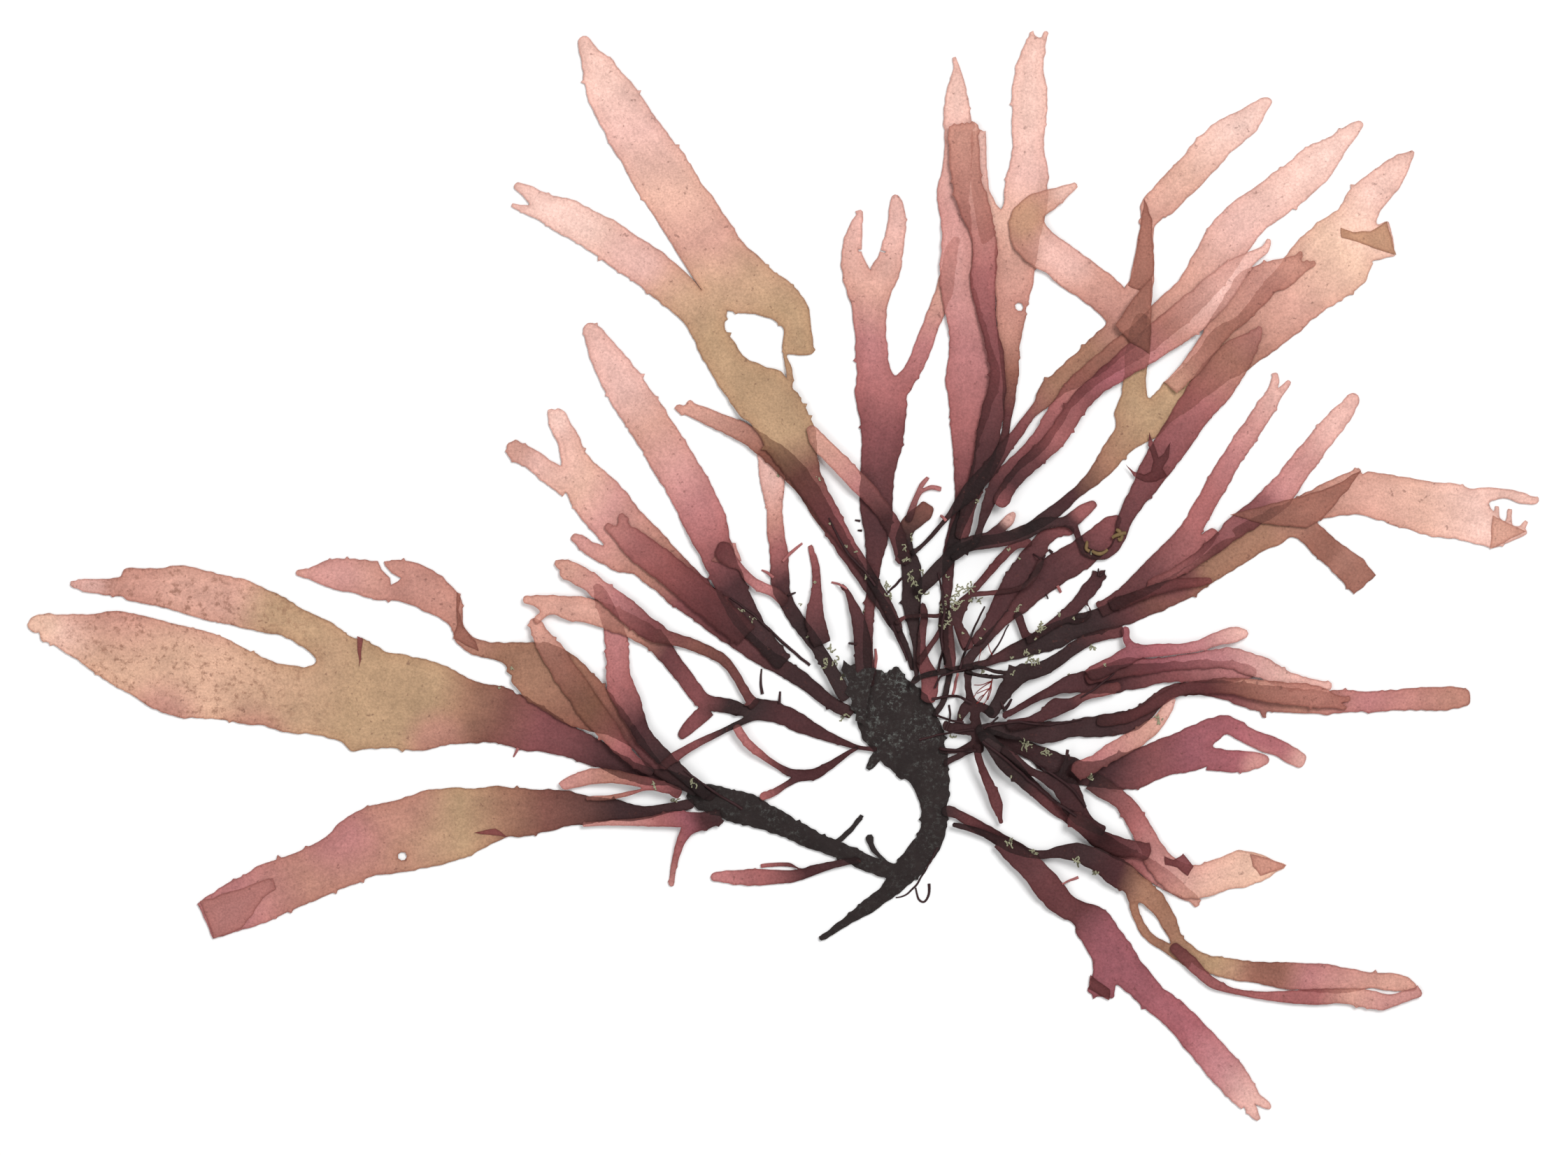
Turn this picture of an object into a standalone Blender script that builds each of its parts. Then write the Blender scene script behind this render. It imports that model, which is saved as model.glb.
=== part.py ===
"""Dulse, pressed and dried: a tuft of flat red fronds fanned out from one dark stipe.

Each frond is a thin sheet. Its outline is the union of ribbons, and a ribbon is a row of
stations along the middle of a lobe, each with its place and the full width there. The
fronds are laid one over another, bottom first, so each one is bent clear of those below.
The tuft lies on the flat underside of the stipe and on low spots of three fronds.
"""

import bpy
import numpy as np
from mathutils import Vector
from mathutils.geometry import delaunay_2d_cdt

MM = 0.001

# Thicknesses, gaps and slopes; lengths are in millimetres here and below
BLADE_THICKNESS = 0.6
STIPE_THICKNESS = 1.2
LAYER_GAP = 0.35
FLOOR_CLEARANCE = 0.3
RAMP_SLOPE = 0.22
RAMP_TOLERANCE = 1e-6
BLADE_ROUGHNESS = 0.6

# Outline limits: shorter edges, flatter corners and smaller gaps are left out
SHORTEST_EDGE = 0.7
FLATTEST_CORNER = 0.1
SMALLEST_GAP_AREA = 2.5
PINCH_SHIFT = 0.15
JOIN_DISTANCE = 0.02
HOLE_CORNERS = 7

# Height map of the pile
CELL = 0.5
MAP_START = np.array([-225.0, -95.0])
MAP_CELLS = (550, 760)
READ_MARGIN = 0.6
WRITE_MARGIN = 0.3

# Low spots: frond, centre and radius of the pressed-down area
LOW_SPOTS = {
    "left_broad_forked_frond": (-170.0, 19.0, 12.0),
    "upper_torn_frond": (-58.7, 133.0, 10.0),
    "right_broad_notched_frond": (115.0, 60.2, 9.0),
}

# Round holes in the blades: frond, then centre and radius of each
HOLES = {
    "left_low_frond": [(-124.1, -24.1, 1.0)],
    "top_right_straight_frond": [(22.8, 106.8, 0.9)],
}

# Colours of the dried blades, sRGB
COLOURS = {
    "pale_pink": "D9A9A6",
    "peach": "D9B49A",
    "rose": "C07A8A",
    "mauve": "9A5668",
    "olive_tan": "AE9370",
    "maroon": "6B3340",
    "stipe": "3A2C2E",
}

STIPE = "stipe_and_old_blade"

# Fronds from the bottom of the pile to the top: name, colour, ribbons of (x, y, width)
FRONDS = [
    (STIPE, "stipe", [
        [(-24.8, -44, 1.4), (-22, -42.1, 1.4), (-18, -39.3, 2.1), (-14, -36.6, 2.9), (-10, -33.6, 3.7),
         (-7, -30.8, 4.8), (-3.8, -27.3, 6), (-0.4, -23.4, 6.4), (1.9, -19.5, 6.2), (2.7, -15.5, 6),
         (2.6, -12, 6.4), (2.1, -8, 7.8), (1.2, -4.5, 10), (-0.5, -1, 13.6), (-2.7, 2.6, 16.6),
         (-5, 6.4, 18), (-7.3, 10, 18), (-9.2, 13.6, 16.2), (-10.2, 17, 13), (-10.4, 20, 9.6)],
        [(-6, -28, 4), (-10, -27.1, 3.9), (-15, -24.9, 4), (-20, -22.7, 3.9), (-25, -20.8, 4.2),
         (-30, -18.3, 5), (-35, -15.8, 5.8), (-40, -13.6, 7), (-45, -12.1, 7.4), (-49, -11, 7.2),
         (-53, -9.5, 6), (-56, -8.2, 3.6)],
        [(-21.5, -22, 1.4), (-20, -20.2, 1.2), (-17, -17.5, 1), (-14.6, -14.3, 0.9)],
        [(-8.5, -25.8, 1.3), (-11.8, -22.5, 1.1), (-13, -19.5, 1)],
        [(-10.5, 0.5, 3), (-13.2, -3.3, 0.9)],
    ]),
    ("left_low_frond", "olive_tan", [
        [(-171, -39.5, 9), (-165, -36.6, 11.3), (-160, -34.4, 12.4), (-155, -32, 12.7), (-150, -30, 12.3),
         (-145, -27.9, 12.3), (-140, -25.5, 12.8), (-135, -22.3, 15), (-130, -20.3, 16.7),
         (-125, -19.4, 17.2), (-120, -18.2, 17.8), (-115, -16.9, 18), (-110, -15.9, 16.9),
         (-105, -14.6, 14.2), (-100, -13.4, 12), (-95, -13.6, 11.7), (-90, -13.1, 10), (-85, -12.8, 8.4),
         (-80, -13, 6.5), (-75, -12.9, 5.6), (-70, -13.5, 4), (-65, -13.4, 2.8), (-60, -12.4, 2.2),
         (-55, -11.6, 2.2)],
    ]),
    ("left_broad_forked_frond", "peach", [
        [(-213, 31.5, 2), (-210, 31, 5.6), (-205, 29.6, 8.2), (-200, 28.1, 11.3), (-195, 27, 15.5),
         (-190, 25.1, 17.7), (-185, 23.2, 19), (-180, 21.1, 21), (-175, 19.4, 21.3), (-170, 18.6, 20.3),
         (-165, 17.1, 18), (-160, 15.5, 16.7), (-155, 14.4, 15.3), (-150, 13.2, 15.7),
         (-146.6, 13, 16), (-143.5, 13.4, 18.4), (-140, 14, 22), (-135, 14.6, 27.2), (-130, 13.1, 23.7),
         (-125, 12.8, 22.6), (-120, 11.8, 21.8), (-115, 11.5, 19.8), (-110, 10.6, 16), (-105, 10, 14),
         (-100, 9.2, 13.2), (-95, 7.3, 12.2), (-90, 5.4, 9.8), (-85, 3.4, 7.6), (-80, 1.4, 6.6),
         (-75, -1, 5.5), (-70, -3.5, 4.8), (-65, -5, 4.2), (-60, -5.5, 3.6), (-55, -7.5, 3),
         (-50, -9.5, 2.6)],
        [(-203, 41, 0.8), (-200, 40.5, 2.8), (-195, 40.2, 3.9), (-191, 40.2, 5), (-189.8, 40.8, 7.6),
         (-185, 40.3, 8.2), (-180, 40, 9.8), (-177, 39.8, 11), (-170, 37.8, 11.3), (-165, 36.8, 11.2),
         (-160, 35.4, 10.9), (-155, 33.7, 9.5), (-150, 31.6, 8), (-145, 28.9, 8.5), (-140, 25, 10),
         (-135, 20, 16)],
    ]),
    ("left_upper_frond", "rose", [
        [(-149.2, 43.5, 1), (-146, 43.4, 3), (-142, 43.2, 6.2), (-136, 42.8, 8.2), (-130, 41.6, 9.3),
         (-125, 41.7, 9.7), (-120, 40.3, 9.9), (-116, 37.8, 9), (-113, 35.2, 7), (-111, 31, 3),
         (-110, 28.3, 3.6), (-107, 26, 4), (-103, 24.8, 4.2), (-99, 24.3, 5.5), (-96, 22.5, 10),
         (-92, 20.5, 14), (-88, 18, 15), (-84, 15, 14), (-80, 12, 12.5), (-76, 9.5, 9.5),
         (-72, 6.8, 6), (-68, 3, 4), (-65, -1, 3.2), (-62, -4, 2.8), (-58, -6.5, 2.4), (-54, -8.6, 2.2)],
    ]),
    ("left_upright_frond", "rose", [
        [(-77.8, 40.6, 1.5), (-76.8, 38, 3.4), (-75.2, 34, 4.2), (-73.6, 30, 5), (-73, 25, 5.4),
         (-72.7, 20, 5.8), (-72, 16, 6.2), (-70, 12, 6), (-68.2, 8, 4.8), (-66.5, 4.5, 4.4),
         (-63, 1, 4), (-60, -1.8, 3.2), (-57, -4.6, 2.8), (-54, -7.4, 2.6), (-51.5, -9.5, 2.4)],
    ]),
    ("left_hanging_branch", "mauve", [
        [(-60, -31, 1), (-59.5, -27, 1.4), (-58.3, -22, 1.8), (-56.5, -18, 3), (-53, -15.6, 4.4),
         (-48, -14.5, 3.6)],
        [(-81, -16.4, 0.9), (-75, -16, 1.2), (-67, -15.8, 2), (-60, -15.2, 3.6), (-53, -15, 4)],
    ]),
    ("left_narrow_frond", "pale_pink", [
        [(-93, 32.3, 1.6), (-91.8, 30, 3.4), (-89.5, 26, 5.2), (-86.5, 21.5, 6), (-83, 16.5, 6.2),
         (-79.5, 11.5, 6), (-76, 7, 5.5), (-72.5, 2.5, 4), (-69, -1, 2.6), (-64.5, -4, 2)],
    ]),
    ("left_small_lobe", "pale_pink", [
        [(-86, -7, 1.8), (-83, -6.2, 3), (-79, -5, 4), (-75, -4.8, 3.4), (-70, -5.6, 3),
         (-65, -6.6, 2.6), (-60, -8, 2.2), (-58, -9, 2)],
        [(-80, -10.2, 1), (-75, -10, 1.1), (-70, -9, 1.1), (-66, -7.8, 1)],
    ]),
    ("stipe_side_frond", "mauve", [
        [(-50.3, -29, 1.4), (-48, -28.9, 2.8), (-44, -29.2, 3.6), (-40, -29.1, 4), (-36, -29, 3.6),
         (-32, -28.9, 3), (-29, -28.3, 2.6), (-26, -27.3, 2.6), (-22, -26.2, 1.8), (-18, -25.3, 1.5),
         (-15, -24.9, 1.3)],
        [(-38.7, -26.4, 0.8), (-36, -26.1, 0.9), (-32, -26.1, 0.9), (-29, -26.8, 1)],
    ]),
    ("middle_long_thin_frond", "mauve", [
        [(-95, 36.9, 1.4), (-92.5, 36.8, 2.6), (-90.5, 36, 4.2), (-87, 35.5, 4.8), (-83, 34.9, 6),
         (-79, 34.2, 5.8), (-75, 33, 5.8), (-71, 31.2, 5.6), (-67, 29.4, 5.4), (-63.5, 27, 5),
         (-60.5, 23.5, 4.4), (-57.5, 19.5, 4.2), (-54.5, 15.5, 4), (-52, 12.6, 4), (-48.5, 12, 3.6),
         (-45, 11.4, 3.4), (-42, 10.4, 3), (-40, 11, 5), (-35, 10, 5), (-30, 8, 4.6), (-25, 5.5, 3.2),
         (-20, 3.4, 1.8), (-15, 1.8, 1), (-11, 1.5, 0.9)],
        [(-92.2, 31.9, 1.6), (-90.8, 33, 1.8), (-89.5, 34.6, 2.6)],
        [(-57.8, 4.3, 1.6), (-55.8, 6.8, 3), (-53.2, 9.2, 3.8), (-51, 11, 3.6)],
        [(-62, -2.6, 1.6), (-59.5, -0.6, 2.4), (-55, 2.2, 1.8), (-50, 4.7, 1.5), (-45, 7, 1.5),
         (-41, 9, 2)],
    ]),
    ("middle_short_thin_frond", "mauve", [
        [(-87, 45.5, 2), (-85, 44.3, 4.4), (-81, 42.3, 4.6), (-77, 39.6, 4.8), (-73, 36.4, 5),
         (-69, 32.8, 5.4), (-65, 30, 5.2), (-61, 28, 3.4), (-56, 26.7, 2.8), (-51, 24.6, 2.6),
         (-47.5, 22.6, 2.4), (-45, 19.5, 2.2), (-43, 16, 2.2), (-41, 13, 2.4), (-40, 12, 2.4)],
    ]),
    ("middle_branchlets", "mauve", [
        [(-44.6, 6.8, 1.8), (-42, 3.2, 2), (-39, 0.5, 1.8), (-35.5, -2, 1.6), (-32, -4, 2),
         (-29, -4.8, 3), (-26, -4.4, 2.8), (-23, -2.8, 2), (-20, -0.8, 1.4), (-17.4, 0.9, 1),
         (-15.5, 1.8, 0.9)],
        [(-38.6, -10, 1.6), (-35.5, -8.8, 1.8), (-32.5, -6.9, 1.4), (-29.5, -5.2, 2)],
    ]),
    ("upper_left_forked_frond", "peach", [
        [(-98.8, 73.6, 2.6), (-96.5, 72.3, 4.6), (-93, 70.3, 5), (-90, 68, 5.2), (-87, 66.3, 5.6),
         (-84, 64.5, 7)],
        [(-87.9, 82, 3), (-86.6, 79, 5), (-84.6, 75, 5.4), (-83.2, 71, 6.6), (-82, 68, 8)],
        [(-82, 67, 9.5), (-79.5, 63.5, 11.5), (-76.5, 60, 12), (-73.5, 56.5, 12), (-70.5, 53, 12),
         (-67, 49.5, 12), (-63, 45.5, 11), (-58.5, 41.5, 10.4), (-54, 37.6, 9.6), (-50, 34, 8.6),
         (-46, 30, 7), (-42, 26.5, 5.5), (-37, 23, 4.5), (-32, 20, 4), (-27, 16.5, 3.5),
         (-22, 12.5, 3), (-17, 10, 2.4)],
        [(-83.5, 52.2, 1.6), (-81.5, 51, 2.6), (-79, 49, 3.4), (-76, 48, 4.6), (-72, 46.6, 6),
         (-68, 47, 8)],
    ]),
    ("centre_thin_frond", "rose", [
        [(-38.2, 73, 2.5), (-37, 70.5, 5), (-36, 66, 5.8), (-35.6, 62, 4.8), (-35.4, 57.5, 3.8),
         (-35, 53, 4.2), (-34.3, 48, 4.2), (-34, 43, 4.4), (-33.6, 39, 4), (-32, 35.5, 3.6),
         (-29.5, 31.5, 3.4), (-26.5, 27.5, 3.4), (-24, 23.5, 3.2), (-21.5, 19, 3), (-18.5, 14, 2.8)],
    ]),
    ("upper_left_broad_frond", "peach", [
        [(-79.8, 102.6, 2.6), (-78.4, 99.7, 4.8), (-76.2, 95.9, 7), (-73.4, 91.4, 8.8),
         (-70.5, 86.9, 9.6), (-67.1, 82, 9.7), (-64.1, 77.3, 9.7), (-61.1, 72.5, 10), (-58.1, 67.5, 10.2),
         (-55.5, 63, 10.2), (-53.2, 58.4, 10.4), (-51.2, 53.9, 9.6), (-49.8, 49.8, 8.6),
         (-48.2, 45.8, 7.8), (-46.2, 41.2, 7.4),
         (-44, 36.5, 7.2), (-41.5, 32, 6.2), (-38.5, 28, 5.2), (-35, 24, 4.6), (-33, 22, 4)],
    ]),
    ("upper_left_inner_frond", "mauve", [
        [(-73.5, 54, 3.6), (-70.5, 52, 6), (-67, 49, 6.8), (-62.5, 45.5, 7), (-58, 42, 7.2),
         (-54, 38.8, 7.2), (-50, 35.5, 7), (-46, 32, 6.5), (-42, 28.5, 5.6)],
        [(-75.5, 54.6, 1.6), (-72.5, 52.8, 3)],
        [(-71.8, 57.5, 1.2), (-71, 54, 3)],
    ]),
    ("centre_bent_sprig", "rose", [
        [(-47.6, 50.6, 2.2), (-47.3, 48, 4.6), (-45.5, 46.2, 3), (-43.4, 44.6, 1.6), (-42, 42.6, 2.2),
         (-39, 40.3, 2.6), (-35.5, 38.8, 2.6), (-33, 36.4, 2.4)],
    ]),
    ("centre_small_frond", "mauve", [
        [(-27, 50, 0.9), (-26.4, 48.2, 1.6), (-25.6, 44.5, 1.9), (-25.4, 40, 2.2), (-25.6, 36.5, 3.4),
         (-25.8, 33, 4.4), (-25.4, 30, 4.6), (-24, 26.5, 4)],
    ]),
    ("top_left_three_lobed_frond", "rose", [
        [(-15, 129.6, 1.2), (-15.6, 127, 2.6), (-16.6, 123, 4.4), (-16.8, 119, 5.2),
         (-15.6, 114.5, 6.6), (-14.8, 110.5, 6.4)],
        [(-6.8, 133.4, 1.4), (-6.4, 130.5, 3.6), (-6.3, 126.5, 4.4), (-7, 122.5, 5), (-7.6, 119, 5.6),
         (-9, 115.3, 7), (-10.4, 111, 6.4)],
        [(-12.6, 113.5, 12.6), (-12.7, 110, 10.2), (-12.8, 106, 8.4),
         (-12.6, 101, 7.5), (-12.2, 96, 7.5), (-11.8, 91.5, 8), (-10.6, 87.5, 11.5), (-9.7, 83, 12),
         (-9.7, 79, 10.6), (-9.9, 75, 10), (-10.3, 71, 8.8), (-10.8, 67, 8.2), (-11.2, 63, 8),
         (-11.2, 59, 7.6), (-11, 55, 6.8), (-11.2, 51, 5.4), (-11.6, 47, 3.8), (-11.8, 43, 3),
         (-12.3, 39, 2.6), (-12.8, 35, 2.6), (-13, 31, 2.4), (-13.2, 26, 2.4), (-12.8, 21, 2.2),
         (-12.6, 17, 2)],
        [(8, 123.3, 1.6), (6.8, 120.5, 3), (6, 116, 3.4), (5.2, 111.5, 4), (3.6, 107, 4.2),
         (1.8, 102.5, 4), (0.2, 98, 4.2), (-1.4, 94, 4.2), (-3.8, 90, 4.6), (-6.5, 86, 5.5)],
    ]),
    ("centre_short_frond", "maroon", [
        [(-19.5, 40.6, 0.9), (-18, 38.8, 1.2), (-17, 36, 2), (-15.8, 33, 3), (-14.9, 29.5, 4),
         (-14.4, 26, 4.2), (-14.2, 22.5, 4), (-14, 20, 3.6)],
    ]),
    ("upper_left_arching_frond", "rose", [
        [(-58.2, 82.4, 1.6), (-56.4, 82.6, 3), (-53, 81.3, 3.8), (-49, 79.6, 4.2), (-45, 77.8, 4.4),
         (-41, 75.8, 4.6), (-37.5, 73.2, 5), (-34, 70.6, 5.6), (-30, 66.5, 5.6), (-27, 62.5, 5),
         (-24.5, 58.5, 4.6), (-22, 54.5, 4.4), (-19.5, 50.5, 3.8), (-17, 46.5, 3.4), (-14.5, 42.5, 3),
         (-12, 39, 2.8), (-9.5, 35.5, 2.8), (-7.5, 32, 2.6), (-5.5, 28.5, 2), (-3.5, 24, 1.4),
         (-2.5, 20, 1)],
    ]),
    ("upper_torn_frond", "peach", [
        [(-81.2, 170.8, 2), (-79.8, 168, 4), (-77.6, 164, 7.4), (-75.6, 160, 10), (-73, 155.5, 11.6),
         (-70.3, 151, 12.4), (-67.6, 146.5, 12.8), (-64.5, 142, 13.6), (-61.7, 137.5, 14.2),
         (-58.7, 133, 14), (-55.8, 128.7, 14.4), (-53, 124.5, 14.6), (-50.2, 120, 14.6),
         (-47.2, 115.8, 15), (-43.2, 112.4, 15.2), (-38.6, 110.4, 11.6), (-34, 108.4, 9.4),
         (-31.6, 106, 8.2), (-30, 102.8, 6.9), (-29.8, 99, 7), (-29.6, 95.6, 6)],
        [(-97.2, 136, 1.8), (-95, 134.9, 2.8), (-92.5, 133, 4), (-90.5, 130.8, 6.8), (-87, 129.3, 8.2),
         (-83, 127.4, 8.6), (-78.7, 125, 9), (-74.5, 122.4, 9.4), (-70.4, 119.5, 9.6),
         (-66.3, 116.7, 9.8), (-62.2, 113.7, 9.6), (-58.2, 110.2, 9.2), (-54.3, 106, 8.4),
         (-51, 101, 8), (-48.9, 96.6, 8.4), (-46, 92, 9), (-42.6, 88.6, 11.6), (-38.6, 86, 14.4),
         (-35.4, 82.2, 13.4), (-33, 78.6, 12.6), (-31.2, 74.5, 12.4), (-29.6, 70.5, 10), (-28, 66.5, 7.5),
         (-25.6, 62.5, 6), (-23, 58.5, 5.2), (-20.5, 54.5, 4.4), (-18, 50.5, 3.6), (-15.5, 46.8, 3),
         (-13, 43, 2.6), (-10.8, 39.5, 2.6), (-9, 36.5, 2.6), (-7.6, 33.5, 2.4), (-6, 30, 2)],
        [(-98, 131.2, 0.8), (-95.5, 130.3, 1.8), (-91.5, 129.6, 4)],
        [(-50.5, 110.5, 8), (-49, 105.5, 5), (-49.2, 101, 4)],
        [(-33.2, 97, 1.2), (-32.6, 94, 1), (-31.8, 91, 1.4), (-31.5, 87.5, 2)],
        [(-31.5, 101, 3), (-33.2, 97, 1.2)],
    ]),
    ("centre_curved_frond", "mauve", [
        [(1.2, 59.6, 3), (-0.2, 57.6, 4.6), (-2.8, 55.6, 4.4), (-4.4, 52.6, 3.8), (-4.2, 49, 4.2),
         (-3, 45, 4.6), (-2.6, 41, 4.8), (-2.8, 37, 4.4), (-2.6, 33, 3.4), (-2, 29, 2.4),
         (-1.6, 25, 1.8), (-1.7, 21, 1.4), (-2, 18, 1.4)],
    ]),
    ("centre_slanting_frond", "rose", [
        [(-27, 78, 2), (-24, 73.5, 4), (-20, 69.5, 4.4), (-16.5, 66, 4.4), (-13, 62.5, 4.2),
         (-10, 59, 4), (-7.5, 55, 4), (-5.6, 50.5, 3.6), (-4.6, 46, 3)],
    ]),
    ("top_straight_frond", "rose", [
        [(7.4, 166.4, 0.8), (7.9, 163.8, 1.4), (8, 161.5, 3), (8, 158, 5), (8.1, 154, 6.2),
         (8.3, 150, 6.6), (8.4, 145.5, 6.6),
         (8.2, 141, 6.8), (7.6, 137, 7.4), (7.2, 133, 7.6), (7.6, 129, 7), (8, 124.5, 7.2),
         (8, 120, 7.8), (7.8, 116, 7.6), (8, 112, 7.8), (9, 107.5, 8.4), (10.2, 103, 8.6),
         (11, 98.5, 9.6), (11.6, 94, 11.6), (11.8, 90, 13), (11.4, 86, 11.4), (11, 82, 9.6),
         (10.4, 78, 7.8), (10, 74, 6.4), (9.8, 70, 5.4), (9.7, 66, 4.4), (9.4, 62, 3.6), (8.4, 58, 3),
         (7.5, 54, 2.8), (6.5, 50, 3), (6, 45.5, 3), (5.8, 41, 2.6), (5.2, 36, 2.4), (4.8, 31.5, 2.4),
         (5, 27, 2), (5.6, 23, 1.8), (6.2, 20, 1.6), (5.6, 16, 1.4), (4.6, 12.5, 1.4), (2.5, 9.5, 1.2)],
    ]),
    ("top_right_straight_frond", "pale_pink", [
        [(27.4, 171.3, 4), (26.4, 168, 5.4), (25.4, 164, 6.6), (25.4, 160, 7.8), (25.4, 155, 8.6),
         (25.2, 150, 8), (25.1, 145, 7.4), (25, 140, 9), (24.6, 135, 10.4), (24, 130, 10.5),
         (22.5, 125, 11), (22, 119, 10.2), (21.6, 114, 9), (21.2, 109, 8), (20.9, 104, 7),
         (20.5, 99, 5.6), (20.6, 94, 4.4), (20.6, 89, 3.4), (20.4, 85, 3.2), (20, 80, 2),
         (19.4, 76, 2), (18, 72, 2.4), (15.8, 68, 2.6), (13, 64, 2.8), (10.8, 60, 3), (9, 56, 3),
         (7.6, 52, 3), (7, 48, 3)],
        [(25.7, 172.4, 0.9), (26.3, 170, 2)],
        [(29.4, 172.2, 0.9), (28.6, 170, 2)],
        [(13.2, 148.8, 3.6), (13.2, 144, 3.8), (13.3, 139, 4), (13.8, 134, 4.4), (15.5, 129, 6),
         (18, 124, 9)],
    ]),
    ("top_cut_end_frond", "rose", [
        [(9.5, 149.8, 6.8), (9.7, 145, 7.2), (10, 140, 7.2), (10.8, 135, 7.2), (12.2, 130, 7.2),
         (13.8, 125.5, 6), (14.7, 121, 6), (14.5, 116.5, 6), (14.2, 111.5, 5.8), (14.9, 106, 4.6),
         (15.8, 101, 3.6), (17, 96.5, 4), (17.6, 92, 3.6), (17.5, 88, 4.2), (17, 84, 5), (16.3, 80, 5.6),
         (15.6, 76, 5.4), (14.8, 72, 5), (13.6, 68, 4.4), (12.2, 64, 4), (11, 60, 3.6), (10, 56, 3.2),
         (9, 52, 3)],
    ]),
    ("top_right_forked_frond", "peach", [
        [(82.6, 156.4, 1.8), (80, 154.2, 4), (77, 151, 6.6), (74, 149, 7.4), (70.5, 146.5, 7.8),
         (67, 142.5, 8.2), (63.5, 138.7, 8), (60, 135.3, 7.8), (57, 132, 7.6), (54.6, 129.6, 6.4),
         (53.4, 126, 3.4), (52.9, 122, 4), (52.6, 118, 4.6), (52.4, 114, 5.2), (51.2, 110, 7),
         (49.5, 106, 8.4), (48, 101.5, 9), (44.5, 97.8, 8.4), (40.5, 94.5, 8), (36.5, 91.5, 7),
         (32.5, 88.6, 5.6), (29.5, 86, 5), (27.2, 83, 3), (25, 80.6, 2.2), (22.5, 77, 2.6), (20, 74, 3),
         (16.5, 69, 3.5), (12.5, 64.5, 4), (9, 60.5, 3), (6, 57, 1.3), (3, 53.5, 1), (1, 51.2, 0.9),
         (-2.6, 48, 0.9)],
        [(24.5, 127, 9), (25.5, 123.5, 9.5), (28.5, 120.5, 9), (32, 118.2, 9), (36, 115.2, 9.3),
         (40, 112.5, 9), (44, 109, 8.6), (47.5, 105.5, 8.8)],
        [(36.3, 135.9, 1.2), (33.5, 134.2, 3.2), (30, 132.2, 5), (26.8, 130.4, 6.4), (25, 128, 8.4),
         (24.6, 124.5, 8.6)],
    ]),
    ("centre_forked_sprig", "rose", [
        [(1.1, 66.2, 0.8), (-0.6, 64, 1), (-1.6, 61.5, 1.3), (-2.6, 58.6, 1.6), (-3.6, 56, 1.6)],
        [(4.1, 63.4, 0.8), (2, 63.8, 1), (-0.4, 63, 1.1), (-2, 60.6, 1.4)],
    ]),
    ("centre_root_frond", "maroon", [
        [(-0.2, 36, 1.4), (0.2, 33, 1.8), (-0.2, 30, 1.8), (-0.4, 26, 2), (0, 22.5, 3), (1.4, 19, 4),
         (1.6, 16, 4), (1, 13, 3)],
    ]),
    ("right_broad_notched_frond", "rose", [
        [(146.6, 60.6, 1.4), (143, 61.2, 2.6), (139, 62.3, 2.2), (135.5, 62.3, 3.2), (131, 61, 6)],
        [(143.7, 53.6, 1.6), (140.5, 53, 3.6), (137, 53, 7), (133.5, 54.3, 9), (130, 57.3, 13),
         (125, 58.3, 13.6), (120, 59, 12.8), (115, 60.2, 12), (110, 61.5, 11), (106, 62.3, 10.4),
         (102, 61.4, 8.4), (96, 59, 5), (90, 56, 4.6), (84, 53, 5.4), (78, 50.5, 6.4), (72, 47.3, 7.4),
         (66, 43, 6.8), (60, 39.6, 6.8), (54, 36.7, 6.4), (48, 34.6, 7), (42, 32.2, 6), (36, 30.5, 5.8),
         (30, 27.9, 6), (24, 25.6, 4.4), (18, 23.3, 2.4), (14, 21.7, 1.8), (10, 20.8, 1.8),
         (5, 20, 1.6), (0, 19, 1.2), (-3, 17, 1.2)],
        [(136.7, 59.3, 0.8), (136.4, 56, 2.4)],
        [(139.8, 58.6, 0.8), (139.6, 56.5, 1.2), (139.4, 54, 2.4)],
        [(143.8, 55.8, 0.8), (142.6, 53.6, 1.8)],
        [(104.3, 67.6, 2), (99, 63.8, 5), (95, 61.2, 6), (90, 58.6, 6), (85, 56.5, 6), (80, 54, 6),
         (75, 51, 6)],
        [(105.3, 40.6, 7), (102.5, 43.8, 7), (99, 46.8, 6.6), (95.5, 50, 6.4), (92, 53.3, 6),
         (88.5, 54.6, 5)],
    ]),
    ("dark_inner_frond", "maroon", [
        [(46.6, 56.8, 1.4), (45, 55, 4.4), (43, 52.5, 6.4), (40, 49.8, 6.8), (35, 46.2, 7.6),
         (30, 43, 7.2), (26, 39, 5.6), (22.7, 35.4, 4), (19.4, 32.2, 2.4), (16.2, 29, 2.4),
         (13.6, 26.3, 2.4), (11.2, 23.5, 2.4), (9.5, 20.5, 2.2)],
    ]),
    ("dark_inner_left_frond", "maroon", [
        [(35.5, 53.7, 1.4), (32, 53.2, 2.4), (29, 51.8, 4), (27.2, 49.4, 4.4), (25.4, 45.7, 6),
         (22.7, 42.6, 5.8), (20.6, 40, 5), (18.8, 36.9, 4), (17, 33.8, 3.4), (14.6, 29.8, 2.8),
         (12.2, 27, 2.4)],
    ]),
    ("right_inner_forked_tip_frond", "rose", [
        [(83.6, 86.6, 4.2), (81.8, 83, 4.6), (79.4, 79.4, 4.6), (76.8, 75.6, 4.6), (74, 71.4, 4.8),
         (71.4, 67.2, 5), (69, 63, 5), (66.6, 58.8, 5), (64.3, 54.6, 5), (62.4, 50.6, 7), (61, 48.5, 8),
         (57.5, 45.5, 7.4), (54, 42.5, 6.6), (50.5, 39.8, 5), (46.5, 37, 4), (42, 34.6, 3.6)],
        [(84, 91, 0.9), (83.8, 89, 2), (83.2, 86.6, 2.4)],
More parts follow.
